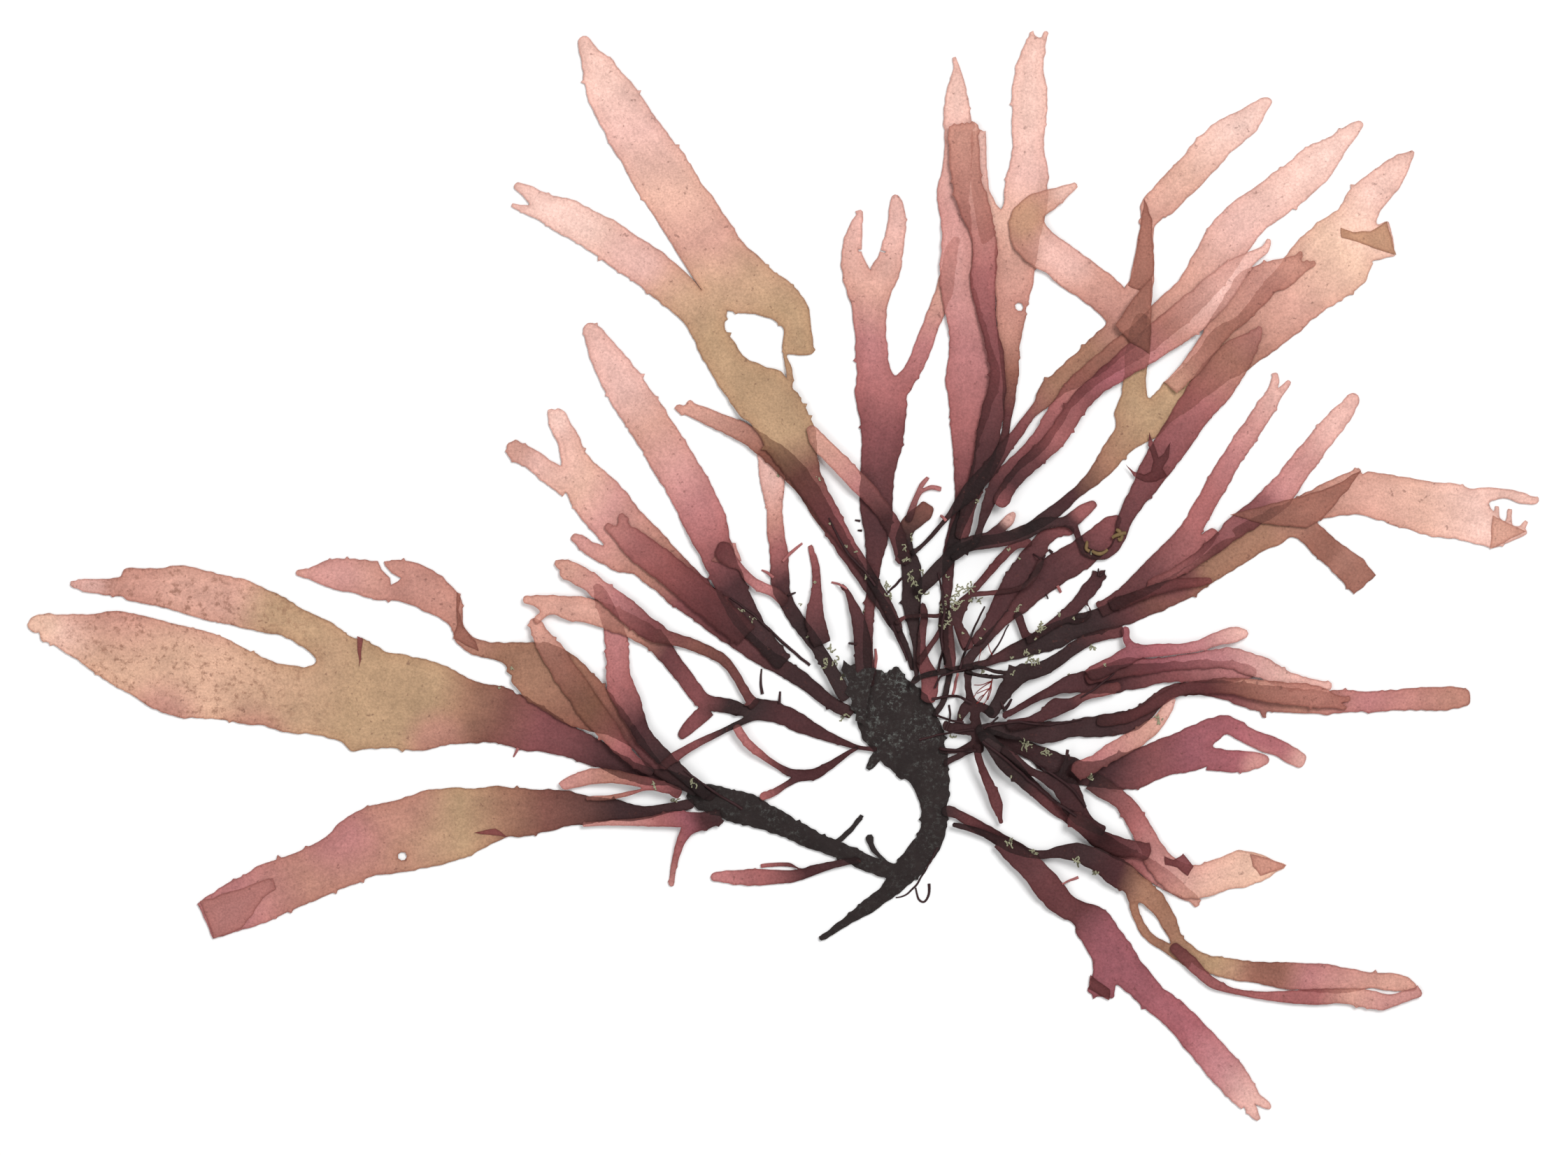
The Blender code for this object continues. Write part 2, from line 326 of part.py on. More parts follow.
        [(87.2, 89.1, 0.9), (85.8, 87.4, 1.8), (84, 85.4, 2.4)],
        [(69.5, 53.3, 2), (66, 50, 4), (62, 48, 6)],
    ]),
    ("right_arching_frond", "rose", [
        [(103, 85.6, 1.8), (101.4, 83.2, 4), (98.6, 79.8, 5), (95.6, 76.2, 5.4), (92.4, 72.2, 5.8),
         (89.2, 68.2, 6), (86.6, 64.6, 6.4), (84, 61.4, 7), (79, 57.5, 6), (74.5, 54.5, 5),
         (70, 50.5, 4), (65.5, 47, 3), (60, 43.6, 2.6), (54, 40.4, 2.4)],
    ]),
    ("right_small_side_frond", "mauve", [
        [(68.3, 41.5, 1.4), (65, 41.3, 2.2), (60, 40.7, 2.6), (55, 39.4, 2.6), (50, 37.6, 2.6),
         (45, 35.6, 2.4)],
    ]),
    ("dark_small_frond", "maroon", [
        [(42.4, 43.5, 1.8), (41.5, 41.8, 3), (39.7, 39.5, 3.6), (37.6, 37, 3.4), (35.6, 34.8, 3.2),
         (33.6, 33, 3), (31, 31.2, 2.4), (28, 29.4, 2), (24.6, 27.6, 2.2)],
        [(38.8, 37.2, 0.8), (39.1, 35.8, 0.8), (39.8, 34.4, 0.8), (39, 32.6, 0.9), (36, 32, 1.2),
         (33.6, 32.6, 1.6)],
        [(22.4, 33.8, 1.6), (23.4, 31, 2), (24.6, 28.2, 2.2)],
    ]),
    ("right_broad_spoon_frond", "peach", [
        [(116.8, 144, 0.8), (115, 142, 3.4), (112, 139, 6.4), (108.5, 135.5, 8), (105, 131.7, 9),
         (103.5, 128, 10), (101, 123.5, 15), (98.3, 118.7, 18.2), (93.5, 114.5, 17), (89.2, 110.4, 14.8),
         (84.6, 105.8, 14), (79, 100.5, 12), (73, 96.5, 12.5), (68, 92, 10), (63, 87.5, 9), (58, 83.5, 8),
         (53, 79.5, 9), (48.5, 76, 7), (44.5, 71, 5.5), (41, 66.5, 4), (37, 63, 2.6), (33, 59.5, 3),
         (28.5, 56, 3), (24, 53.5, 2.6), (19, 51.8, 2.4), (13, 50.8, 2.4), (6, 47.6, 2.2)],
        [(100, 119.5, 8), (106, 122, 8.6), (111.7, 123, 8.2)],
        [(52.2, 104.5, 3), (51.5, 100, 5.4), (50.8, 95, 5.8), (50.3, 90, 5.4), (50.4, 86, 6.5),
         (50, 81.5, 9), (50, 77, 8)],
    ]),
    ("looped_stalk_frond", "mauve", [
        [(80.3, 101, 1.6), (78, 98.5, 5), (75, 95.5, 8), (70, 89.5, 10), (65, 83, 9), (61, 77, 8),
         (57, 71, 8), (53.5, 65.5, 6.5), (50, 60, 4.4), (47.7, 55.5, 3.6), (47, 52.5, 3),
         (45.5, 49.4, 2.2), (42.5, 47.6, 2), (38.8, 48.6, 2.2), (37.3, 51, 1.6), (36, 54.2, 2),
         (33, 55.6, 2.4), (29, 55.3, 2.8), (25, 53.4, 3.4), (20, 51.6, 3.4), (14, 51, 4), (10, 50, 3.6),
         (6, 47, 3.4), (3, 43.5, 3.2), (0, 40.5, 2.8), (-1.5, 39, 2.4)],
        [(41, 60, 1.6), (38.5, 58.6, 3), (35.5, 56.6, 3), (33, 55.6, 2)],
        [(21.5, 57.8, 1), (20.5, 56, 2.4), (18, 53.8, 2.4), (15, 52, 2)],
    ]),
    ("right_twin_tip_frond", "rose", [
        [(89.5, 117, 4.6), (86, 115, 7), (82, 113.5, 8), (78.5, 111.2, 9.4), (75.5, 107.5, 8.6),
         (72, 103.5, 6.5), (69, 99.5, 5.5), (66, 95, 5), (62.5, 91, 4.4), (59, 87.5, 4)],
        [(90.1, 120, 1), (88.8, 117.4, 3)],
        [(93.3, 117.2, 1.2), (89.6, 116.2, 3)],
    ]),
    ("far_right_long_frond", "rose", [
        [(104.2, 150.6, 1.6), (101.5, 148.2, 3.6), (98.5, 145.4, 5.5), (95, 142.3, 8), (91.5, 139, 9.4),
         (88, 136, 9.8), (84, 133.2, 9.6), (80, 130.4, 9.8), (76.3, 127, 10.4), (72.8, 123, 11),
         (70, 118.5, 10.6), (67, 114, 9.6), (63.5, 109.8, 9), (59.5, 106, 8.8), (55.5, 102.3, 8.2),
         (51.5, 99, 7.6), (47.5, 96, 7), (43.5, 93.3, 6.2), (39.5, 90.3, 5.6), (36, 87, 5.2),
         (33, 83.5, 4.8), (30.5, 79.5, 4.6), (28, 75.5, 4.4), (25, 72, 4), (21.5, 69, 3.8),
         (18.5, 66, 3.8), (16.5, 62.5, 3.4), (14.8, 58.5, 2.6), (13.4, 54.5, 2), (12.4, 51, 1.8),
         (7, 47, 1.6)],
    ]),
    ("right_slender_frond", "pale_pink", [
        [(82.3, 122.7, 1), (81.3, 120.5, 2), (78, 118.4, 3.4), (74.5, 115.5, 5.5), (71, 111.8, 7.6),
         (67, 107.6, 8.6), (62.5, 104, 9), (58, 100.5, 8.6), (54, 97.5, 7.6), (50, 94.5, 6.6),
         (46, 91.6, 5.6), (42, 88.6, 5), (38, 85, 4.8), (34.8, 80.6, 4.8), (31.8, 76, 4.8),
         (28.5, 72.4, 4.6), (24.5, 68.8, 4.2), (20.8, 64.8, 3.8), (18, 60, 3.2)],
    ]),
    ("dark_thread_branches", "maroon", [
        [(25.4, 50.6, 1.4), (22, 50, 1.8), (19, 47.6, 2.2), (16.4, 44.6, 1.8), (13.8, 41.4, 1.5),
         (11.4, 38.6, 1.4), (8.8, 36.4, 1.6), (6.2, 34, 1.6)],
        [(28.2, 47, 1.4), (27, 44, 1.6), (25.3, 41.2, 1.4), (22, 39.6, 1.2), (17, 38.8, 1.1),
         (11.5, 38.2, 1.1)],
        [(11, 38, 1.2), (9.6, 34.5, 1.2), (8.5, 31.6, 1.4), (9.6, 29, 1.8), (11, 26.8, 2)],
        [(6.2, 34, 2), (5.6, 30, 3), (6, 26, 3), (6.6, 22.5, 2.4), (6.4, 20.6, 1.6)],
        [(7, 33.5, 1.4), (8, 31.4, 1.8), (9.4, 28.6, 2.4), (10.6, 25.6, 2.6)],
        [(5.2, 31.6, 1.6), (3.4, 28.4, 1.4), (1, 25, 1.2), (-1, 22.2, 1.2)],
        [(6.2, 34, 1), (3.4, 33.2, 0.9), (0, 33.3, 0.9), (-4, 33, 0.9), (-6.5, 31.6, 1)],
    ]),
    ("lower_forked_frond", "rose", [
        [(82.2, -1, 1.4), (80, -1.2, 3.6), (76, -1.4, 5), (72, -1.3, 5), (68, -0.6, 6)],
        [(90.6, -1.6, 2.6), (88, -0.3, 4), (85, 1.6, 4), (81.5, 2.8, 4.2), (78, 4.4, 3.8),
         (75, 6, 4.2), (72, 7.2, 4.8), (69, 6.2, 6), (66, 4, 7)],
        [(69, 2.6, 10), (66, 2.4, 10.5), (62, 0.8, 10), (58, -0.4, 9), (54, -1.9, 8.6), (50, -3.4, 9),
         (46, -4, 8.5), (42, -4.4, 7), (38, -4.2, 6), (34, -3.2, 6), (30, -1.5, 5.4), (26, 0.8, 4),
         (22, 2.4, 3.6), (18, 4.2, 3), (15, 5.4, 2.4), (12, 3, 1.8), (8, 1, 1.2), (4, 1, 1)],
        [(10.8, 20, 1.6), (10.5, 17, 1.5), (11, 14, 2), (12, 12, 2.6), (12.4, 9, 2.4), (12.6, 6, 2.8),
         (12.8, 3, 3), (13.2, 0.6, 2.2)],
        [(16.4, 10.2, 2), (13.6, 11.6, 2.4), (11, 12.4, 2.4), (9.6, 10.8, 2.6), (8.4, 8, 1.6),
         (7.6, 6.2, 1.2)],
        [(5, 7.8, 0.9), (8, 7.3, 0.9), (12, 7.2, 1)],
        [(5, 6.6, 1), (9, 5.5, 1), (12.5, 5.2, 1)],
        [(5, -1.8, 1.2), (8, -0.6, 1.1), (10, 0.5, 1.1), (13, 2, 1)],
    ]),
    ("lower_long_straight_frond", "rose", [
        [(130, 14.2, 3.4), (127.5, 13.6, 4.8), (123, 13.4, 5.6), (118, 13.5, 5.2), (112, 13.1, 4.9),
         (106, 12.7, 4.8), (100, 12.9, 5.4), (95, 12.6, 5.6), (90, 12.9, 6), (85, 13.3, 6.2),
         (80, 13.6, 6.6), (75, 15, 5.4), (70, 15.8, 4), (65, 15.9, 3.2), (60, 15.6, 3), (56.5, 13.8, 3.2),
         (53, 10.4, 4.4), (49.5, 8.2, 5), (45, 7.2, 5.4), (40, 6.9, 4.8), (36, 6.4, 4.2),
         (32, 5.7, 4.6), (28, 5.4, 5.2), (24, 5.8, 4.8), (20, 6.2, 3.8), (16, 6.4, 2.8), (13, 6, 2.4)],
        [(81.3, 8.8, 0.9), (81, 11.4, 2.4)],
    ]),
    ("lower_mid_frond", "mauve", [
        [(79, 20, 1.8), (76, 19.9, 4), (72, 19.8, 5), (67, 20, 5.6), (62, 19.9, 5), (57, 19.6, 4.8),
         (52, 19, 5.6), (47, 18.4, 6.6), (42, 17.6, 6), (38, 17.3, 5), (34, 16.7, 3.8),
         (30, 15, 2.4), (26, 13.1, 1.6), (22, 10.9, 1.4), (19, 9.4, 1.4)],
    ]),
    ("dark_lower_frond", "maroon", [
        [(47.4, 29.4, 3), (44, 28.9, 2.6), (40, 27.8, 2.8), (36, 25.5, 3.2), (32, 22.9, 3.3),
         (28, 20.6, 3.5), (24, 19.9, 4.2), (21.4, 18.4, 4.6), (19.5, 15.6, 3.8), (17.7, 12.8, 2.8),
         (15.8, 9.6, 2.4)],
        [(21, 21.4, 1.6), (20.6, 19.4, 1.8)],
        [(21, 18.8, 0.9), (16, 18.8, 0.8), (12.5, 19.3, 0.8), (10, 20, 0.9)],
        [(21, 19.6, 0.9), (17, 20, 0.9), (14.5, 20.8, 0.8), (12, 21.2, 0.8)],
    ]),
    ("dark_lower_sprig", "maroon", [
        [(46.5, 16.6, 2), (42.5, 15.4, 2.6), (38.5, 14.2, 2.2), (35, 12.4, 2.8), (31.2, 11.5, 4.2),
         (28, 9.3, 2.8), (24, 7.8, 2.6), (20, 7.4, 2.2)],
    ]),
    ("lower_diagonal_frond", "rose", [
        [(65.4, -36, 1.2), (64.4, -34.4, 2.4), (61.5, -32.4, 3.6), (58, -29.9, 4.4), (54.5, -27.3, 4.4),
         (51, -25.2, 4), (47.5, -23.4, 4), (43.5, -21, 4.2), (40, -18.5, 4), (37, -16, 3.6),
         (33.5, -13.8, 3.2), (30, -11.5, 3.2), (27, -8.5, 3.2), (24, -5.8, 3.6), (21, -2.8, 4.4),
         (18, 0.6, 4.2), (16, 3, 3.4), (14, 5.4, 2.6)],
    ]),
    ("lower_broad_tip_frond", "peach", [
        [(86, -26.4, 1), (84, -26.6, 2.4), (82, -27, 4.8), (79, -26.8, 7.4), (75.5, -27.2, 8.8),
         (71.5, -28.3, 8), (67.5, -29.6, 7.8), (63.5, -30.2, 8.2), (59.5, -28.5, 7.5), (56, -25, 6),
         (53.5, -20.5, 5.2), (51.5, -17, 4.8), (49.5, -13.5, 4.6), (46.8, -10.4, 4.4), (43, -8, 4.6),
         (40, -6, 4.6)],
    ]),
    ("lower_side_branch", "mauve", [
        [(43, -18, 2.4), (40, -16.6, 3), (37.4, -14.4, 4.4), (35.6, -11.4, 5.4), (34, -8, 6),
         (31, -5.8, 4.4), (28, -4.8, 2.4), (25, -3.2, 1.6), (22, -0.6, 1.8), (19, 1.8, 2)],
        [(32.4, -6.4, 2.4), (33.4, -3, 1.5), (34, -0.6, 0.9), (34.3, 1.4, 0.8)],
        [(33.3, -3.2, 1.2), (34.4, -1.9, 1), (35.9, -0.9, 0.9)],
    ]),
    ("lower_upturned_branch", "mauve", [
        [(59.3, 13.6, 1.6), (58, 11, 2.6), (56, 8, 3), (53, 5.6, 4.2), (49.5, 3.4, 4.2), (46, 1.4, 4),
         (42.5, -0.6, 4), (39, -2.6, 4), (36, -4, 3.6)],
    ]),
    ("lower_upper_frond", "rose", [
        [(97, 16.4, 1.4), (93, 16.8, 2.6), (89, 17.3, 3.6), (85, 18.6, 4.6), (81, 20.6, 5.2),
         (77, 22, 5.4), (73, 23.2, 4.8), (68, 22.9, 4.2), (63, 22.3, 3.6), (58, 21.8, 3.2),
         (53, 21.2, 3.8), (48, 20.9, 4.4), (43, 19.6, 3.6), (39, 18.2, 2.4)],
    ]),
    ("lower_top_frond", "rose", [
        [(76.8, 28.9, 1.4), (74, 28.7, 3.6), (70, 27.8, 3.4), (65, 26, 2.6), (60, 25.3, 2.6),
         (55, 25, 3), (51, 24.8, 3.6), (48, 23.4, 4.4), (44.5, 21.5, 3.6), (40, 19.4, 3)],
        [(48, 30.2, 1.4), (48.3, 27.6, 1.8), (49.6, 25, 2)],
    ]),
    ("lower_overlying_frond", "mauve", [
        [(98.5, 13, 3.4), (94, 13.9, 5), (89, 14.6, 5.2), (84, 15, 5), (79, 15.8, 4.4), (74, 16.5, 4),
         (69, 16.3, 3.4), (64, 16.1, 2.8), (59.5, 15, 2.6), (56, 12.8, 2.6), (52, 10.6, 2.6),
         (47.5, 8.9, 2.6), (42, 8.3, 2.4)],
        [(101.5, 13.4, 0.8), (98.5, 13.4, 2)],
        [(100.6, 11.2, 0.9), (98, 12.4, 2)],
    ]),
    ("lower_ragged_frond", "mauve", [
        [(53.6, -23, 3), (50.5, -22.4, 4), (46.5, -21.6, 4.4), (42.5, -19.8, 4.2), (38.5, -17.2, 3.8),
         (35, -14.6, 3.2)],
    ]),
    ("lower_short_tuft", "maroon", [
        [(18.6, -16, 0.9), (18.2, -14.4, 1.2), (17.6, -12, 2.6), (16.6, -9, 2.6), (15.2, -6, 2.2),
         (13.9, -3, 1.8), (12.9, 0.4, 1.6), (12.6, 2.6, 1.6)],
    ]),
    ("lowest_long_frond", "rose", [
        [(117.2, -55.6, 1.4), (115.5, -54.8, 3), (112, -54.2, 4.2), (107, -53.6, 3.8), (102, -53.6, 5.6),
         (97, -53.4, 6.4), (92, -52.8, 6.6), (87, -52.5, 6.4), (82, -52, 5.4), (77, -51.5, 4.8),
         (72, -50.6, 4.8), (68.5, -49.8, 4.6), (65.5, -48.4, 3.6), (63, -46.4, 3), (60.5, -44.2, 3.2),
         (59.2, -41.2, 3.6), (57.6, -38, 4), (55, -34.6, 4.8), (50.9, -31.2, 5.8), (47, -28.5, 6.6),
         (43.5, -26, 6), (40, -24.2, 5), (36.5, -23, 4.2), (32.5, -23, 3), (28.5, -23.6, 2),
         (25, -23.2, 2.4), (21.5, -21.8, 3), (18, -19.8, 3), (14.5, -17.8, 2.8), (11, -15.8, 2.6),
         (8, -14, 2.4), (5, -13, 2)],
        [(49.2, -31.6, 3), (50.4, -36.5, 2.2), (51.8, -40.4, 2), (53.9, -43.3, 2), (57.3, -45.6, 2.2),
         (60.5, -47, 3), (64, -49, 3.4)],
    ]),
    ("lowest_broad_tip_frond", "rose", [
        [(78.2, -82.4, 6), (75.4, -79, 7), (72, -75.2, 7.8), (68.8, -71.4, 7.8), (65.5, -67.6, 7.4),
         (61.8, -63.8, 7), (58, -60.2, 6.8), (54.1, -56.9, 6.7), (50.5, -53.3, 7.6), (46.8, -49.9, 9.6),
         (44.4, -46.2, 9.8), (42.1, -42.8, 9), (40, -39.5, 8.8), (38.5, -38, 6.6), (35.2, -35.2, 3.4),
         (32.4, -31.8, 3.2), (29.4, -28.6, 3.2), (26.6, -25.6, 3), (23, -23, 2.6), (19, -20.8, 2.2),
         (15, -18.8, 1.8), (11, -17.4, 1.4), (7, -16.4, 1.2)],
        [(82.8, -84.2, 0.9), (81, -82.8, 2), (78.6, -81.4, 3)],
        [(80, -86.9, 0.9), (78.6, -85, 2.4), (77, -82, 3)],
        [(42.3, -57.2, 6), (43, -54, 5.8), (43.6, -50.5, 7), (44.6, -47, 9)],
        [(38, -38.6, 5), (36, -38, 4), (32.5, -35.4, 5), (29.5, -32.4, 5.4), (27, -29, 4.8),
         (24, -26.2, 4.2), (20.5, -23.2, 3.2), (17.5, -21, 2)],
    ]),
    ("lowest_second_frond", "pale_pink", [
        [(118.2, -56.4, 1.6), (115, -57.2, 2.6), (111.5, -58.4, 3), (108.5, -58.6, 4.4),
         (104.5, -57.9, 4.2), (100, -57.3, 3.8), (95, -57.4, 3.6), (90, -57.6, 3.4), (85, -57.4, 2.6),
         (80, -57.1, 1.7), (75, -56.4, 1.2), (71, -55.2, 2), (67.5, -53.2, 2.6), (64.8, -50.5, 3),
         (62, -47.8, 3), (59.5, -45.4, 2)],
    ]),
]


def clear_scene():
    """Removes every object of the scene."""
    for old in list(bpy.data.objects):
        bpy.data.objects.remove(old, do_unlink=True)


def linear(channel):
    """Turns one sRGB channel from 0 to 1 into its linear value."""
    if channel <= 0.04045:
        return channel / 12.92
    return ((channel + 0.055) / 1.055) ** 2.4


def make_materials():
    """Makes one matt material for each colour of dried blade."""
    materials = {}
    for name, code in COLOURS.items():
        material = bpy.data.materials.new(name)
        material.use_nodes = True
        shader = material.node_tree.nodes["Principled BSDF"]
        channels = [linear(int(code[k:k + 2], 16) / 255) for k in (0, 2, 4)]
        shader.inputs["Base Color"].default_value = (*channels, 1.0)
        shader.inputs["Roughness"].default_value = BLADE_ROUGHNESS
        materials[name] = material
    return materials


def ribbon_sides(stations):
    """Returns the left and right edge points of a ribbon of stations."""
    centres = np.array([station[:2] for station in stations], dtype=float)
    halves = np.array([station[2] for station in stations])[:, None] / 2
    along = np.gradient(centres, axis=0)
    along /= np.linalg.norm(along, axis=1)[:, None]
    across = np.stack([-along[:, 1], along[:, 0]], axis=1)
    return centres + across * halves, centres - across * halves


def convex_outline(points):
    """Returns the convex outline of a few points, counter-clockwise."""
    ordered = sorted(map(tuple, points))
    outline = []
    for run in (ordered, ordered[::-1]):
        start = len(outline)
        for point in run:
            while len(outline) - start >= 2 and turn(outline[-2], outline[-1], point) <= 0:
                outline.pop()
            outline.append(point)
        outline.pop()
    return outline


def turn(a, b, c):
    """Returns twice the signed area of the triangle a, b, c."""
    return (b[0] - a[0]) * (c[1] - a[1]) - (b[1] - a[1]) * (c[0] - a[0])


def joined_area(ribbons):
    """Lays the ribbons' four-sided pieces flat and returns the triangles that they cover."""
    points = []
    pieces = []
    for stations in ribbons:
        left, right = ribbon_sides(stations)
        for k in range(len(stations) - 1):
            piece = convex_outline([left[k], right[k], right[k + 1], left[k + 1]])
            pieces.append(list(range(len(points), len(points) + len(piece))))
            points.extend(Vector(point) for point in piece)
    result = delaunay_2d_cdt(points, [], pieces, 1, JOIN_DISTANCE)
    corners, triangles, sources = result[0], result[2], result[5]
    return corners, [face for face, source in zip(triangles, sources) if source]


def next_corner(corners, came_from, here, choices):
    """Picks the boundary edge that bounds the same part of the area."""
    back = corners[came_from] - corners[here]
    start = np.arctan2(back.y, back.x)
    full_turn = 2 * np.pi

    def clockwise_angle(choice):
        step = corners[choice] - corners[here]
        return (start - np.arctan2(step.y, step.x)) % full_turn

    return min(choices, key=clockwise_angle)


def boundary_loops(corners, triangles):
    """Returns the closed outlines round a set of counter-clockwise triangles."""
    edges = {(face[k - 1], face[k]) for face in triangles for k in range(3)}
    onward = {}
    for start, end in sorted(edges):
        if (end, start) not in edges:
            onward.setdefault(start, []).append(end)
    loops = []
    while onward:
        first = min(onward)
        loop = [first]
        here = onward[first][0]
        onward[first].remove(here)
        while here != first or len(loop) < 3:
            choice = next_corner(corners, loop[-1], here, onward[here])
            onward[here].remove(choice)
            loop.append(here)
            here = choice
        onward = {start: ends for start, ends in onward.items() if ends}
        loops.append(loop)
    return part_pinches(corners, loops)


def part_pinches(corners, loops):
    """Moves a corner that an outline passes twice a little inward each time."""
    passes = {}
    for loop in loops:
        for corner in loop:
            passes[corner] = passes.get(corner, 0) + 1
    parted = []
    for loop in loops:
        points = [corners[corner].copy() for corner in loop]
        for k, corner in enumerate(loop):
            if passes[corner] > 1:
                middle = (corners[loop[k - 1]] + corners[loop[(k + 1) % len(loop)]]) / 2
                inward = middle - points[k]
                if inward.length > 0:
                    points[k] += inward.normalized() * PINCH_SHIFT
        parted.append(points)
    return parted


def corner_height(before, point, after):
    """Returns how far a corner stands off the line between its neighbours."""
    base = after - before
    if base.length < SHORTEST_EDGE:
        return 0.0
    return abs(turn(before, point, after)) / base.length


def cleaned(loop):
    """Drops corners that end a short edge or hardly turn the outline."""
    loop = list(loop)
    k = 0
    passed = 0
    while passed < len(loop) and len(loop) > 3:
        k %= len(loop)
        before = loop[k - 1]
        after = loop[(k + 1) % len(loop)]
        short = (loop[k] - before).length < SHORTEST_EDGE
        if short or corner_height(before, loop[k], after) < FLATTEST_CORNER:
            del loop[k]
            passed = 0
        else:
            k += 1
            passed += 1
    return loop


def loop_area(loop):
    """Returns the signed area inside a closed outline."""
    return sum(a.x * b.y - b.x * a.y for a, b in zip(loop, loop[1:] + loop[:1])) / 2


def round_hole(x, y, radius):
    """Returns the outline of a small round hole."""
    angles = np.linspace(0, 2 * np.pi, HOLE_CORNERS, endpoint=False)
    return [Vector((x + radius * np.cos(angle), y + radius * np.sin(angle))) for angle in angles]


def is_inside(point, loops):
    """Says whether a point lies inside an odd number of outlines."""
    crossings = 0
    for loop in loops:
        for a, b in zip(loop, loop[1:] + loop[:1]):
            if (a.y > point.y) != (b.y > point.y):
                crossings += a.x + (point.y - a.y) * (b.x - a.x) / (b.y - a.y) > point.x
    return crossings % 2 == 1


def flat_sheet(name, ribbons):
    """Returns the corners and triangles of a frond's flat outline."""
    outlines = [cleaned(loop) for loop in boundary_loops(*joined_area(ribbons))]
    loops = [loop for loop in outlines if abs(loop_area(loop)) > SMALLEST_GAP_AREA]
    loops += [round_hole(*hole) for hole in HOLES.get(name, [])]
    points = []
    edges = []
    for loop in loops:
        first = len(points)
        count = len(loop)
        points.extend(loop)
        edges.extend((first + k, first + (k + 1) % count) for k in range(count))
    result = delaunay_2d_cdt(points, edges, [], 1, JOIN_DISTANCE)
    corners = result[0]
    triangles = []
    for face in result[2]:
        middle = (corners[face[0]] + corners[face[1]] + corners[face[2]]) / 3
        if is_inside(middle, loops):
            triangles.append(face)
    used = sorted({corner for face in triangles for corner in face})
    place = {corner: k for k, corner in enumerate(used)}
    flat = np.array([corners[corner][:] for corner in used])
    return flat, [[place[corner] for corner in face] for face in triangles]


def covered_cells(corners, margin):
    """Returns the map cells that a flat triangle covers, with a margin round it."""
    low = ((corners.min(axis=0) - margin - MAP_START) / CELL).astype(int)
    high = ((corners.max(axis=0) + margin - MAP_START) / CELL).astype(int) + 1
    columns, rows = np.meshgrid(np.arange(low[0], high[0]), np.arange(low[1], high[1]))
    x = MAP_START[0] + (columns + 0.5) * CELL
    y = MAP_START[1] + (rows + 0.5) * CELL
    inside = np.ones(columns.shape, dtype=bool)
    for k in range(3):
        start = corners[k - 1]
        edge = corners[k] - start
        distance = (edge[0] * (y - start[1]) - edge[1] * (x - start[0])) / np.hypot(*edge)
        inside &= distance > -margin
    return rows[inside], columns[inside], np.stack([x[inside], y[inside]], axis=1)


def ramped(heights, flat, triangles):
    """Raises corners beside high ones, so the sheet slopes gently."""
    edges = {tuple(sorted((face[k - 1], face[k]))) for face in triangles for k in range(3)}
    drops = [(a, b, RAMP_SLOPE * np.hypot(*(flat[a] - flat[b]))) for a, b in sorted(edges)]
    changed = True
    while changed:
        changed = False
        for a, b, drop in drops:
            for high, low in ((a, b), (b, a)):
                if heights[low] < heights[high] - drop - RAMP_TOLERANCE:
                    heights[low] = heights[high] - drop
                    changed = True
    return heights


def draped(name, flat, triangles, pile):
    """Returns each corner's height, just clear of the pile below and of the floor."""
    if name == STIPE:
        return np.full(len(flat), STIPE_THICKNESS / 2)
    half = BLADE_THICKNESS / 2
    lowest = FLOOR_CLEARANCE + half
    heights = np.full(len(flat), lowest)
    for face in triangles:
        rows, columns, _ = covered_cells(flat[face], READ_MARGIN)
        top = pile[rows, columns].max()
        if top > 0:
            heights[face] = np.maximum(heights[face], top + LAYER_GAP + half)
    heights = ramped(heights, flat, triangles)
    if name in LOW_SPOTS:
        x, y, radius = LOW_SPOTS[name]
        pressed = np.hypot(flat[:, 0] - x, flat[:, 1] - y) < radius
        heights[pressed] = half
    return heights


def add_to_pile(pile, flat, triangles, heights, half):
    """Writes the top of a laid frond into the height map."""
    for face in triangles:
        corners = flat[face]
        tops = heights[face] + half
        rows, columns, points = covered_cells(corners, WRITE_MARGIN)
        plane = np.linalg.solve(np.column_stack([corners, np.ones(3)]), tops)
        level = points @ plane[:2] + plane[2]
        level = np.clip(level, tops.min(), tops.max())
        pile[rows, columns] = np.maximum(pile[rows, columns], level)


def add_frond(collection, name, flat, triangles, heights, thickness, material):
    """Makes the frond's open surface and gives it its thickness."""
    mesh = bpy.data.meshes.new(name)
    points = np.column_stack([flat, heights]) * MM
    mesh.from_pydata(points.tolist(), [], triangles)
    mesh.materials.append(material)
    frond = bpy.data.objects.new(name, mesh)
    collection.objects.link(frond)
    wall = frond.modifiers.new("thickness", "SOLIDIFY")
    wall.thickness = thickness * MM
    wall.offset = 0.0


def build():
    """Lays the stipe and the fronds on one another, bottom first."""
    clear_scene()
    collection = bpy.data.collections.new("dulse")
    bpy.context.scene.collection.children.link(collection)
    materials = make_materials()
    pile = np.zeros(MAP_CELLS)
    for name, colour, ribbons in FRONDS:
        thickness = STIPE_THICKNESS if name == STIPE else BLADE_THICKNESS
        flat, triangles = flat_sheet(name, ribbons)
        heights = draped(name, flat, triangles, pile)
        add_to_pile(pile, flat, triangles, heights, thickness / 2)
        add_frond(collection, name, flat, triangles, heights, thickness, materials[colour])


build()
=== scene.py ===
import heapq
import math

import bmesh
import bpy
import numpy as np
from mathutils import Euler, Matrix, Vector, noise
from mathutils.bvhtree import BVHTree
from mathutils.geometry import delaunay_2d_cdt
from mathutils.kdtree import KDTree


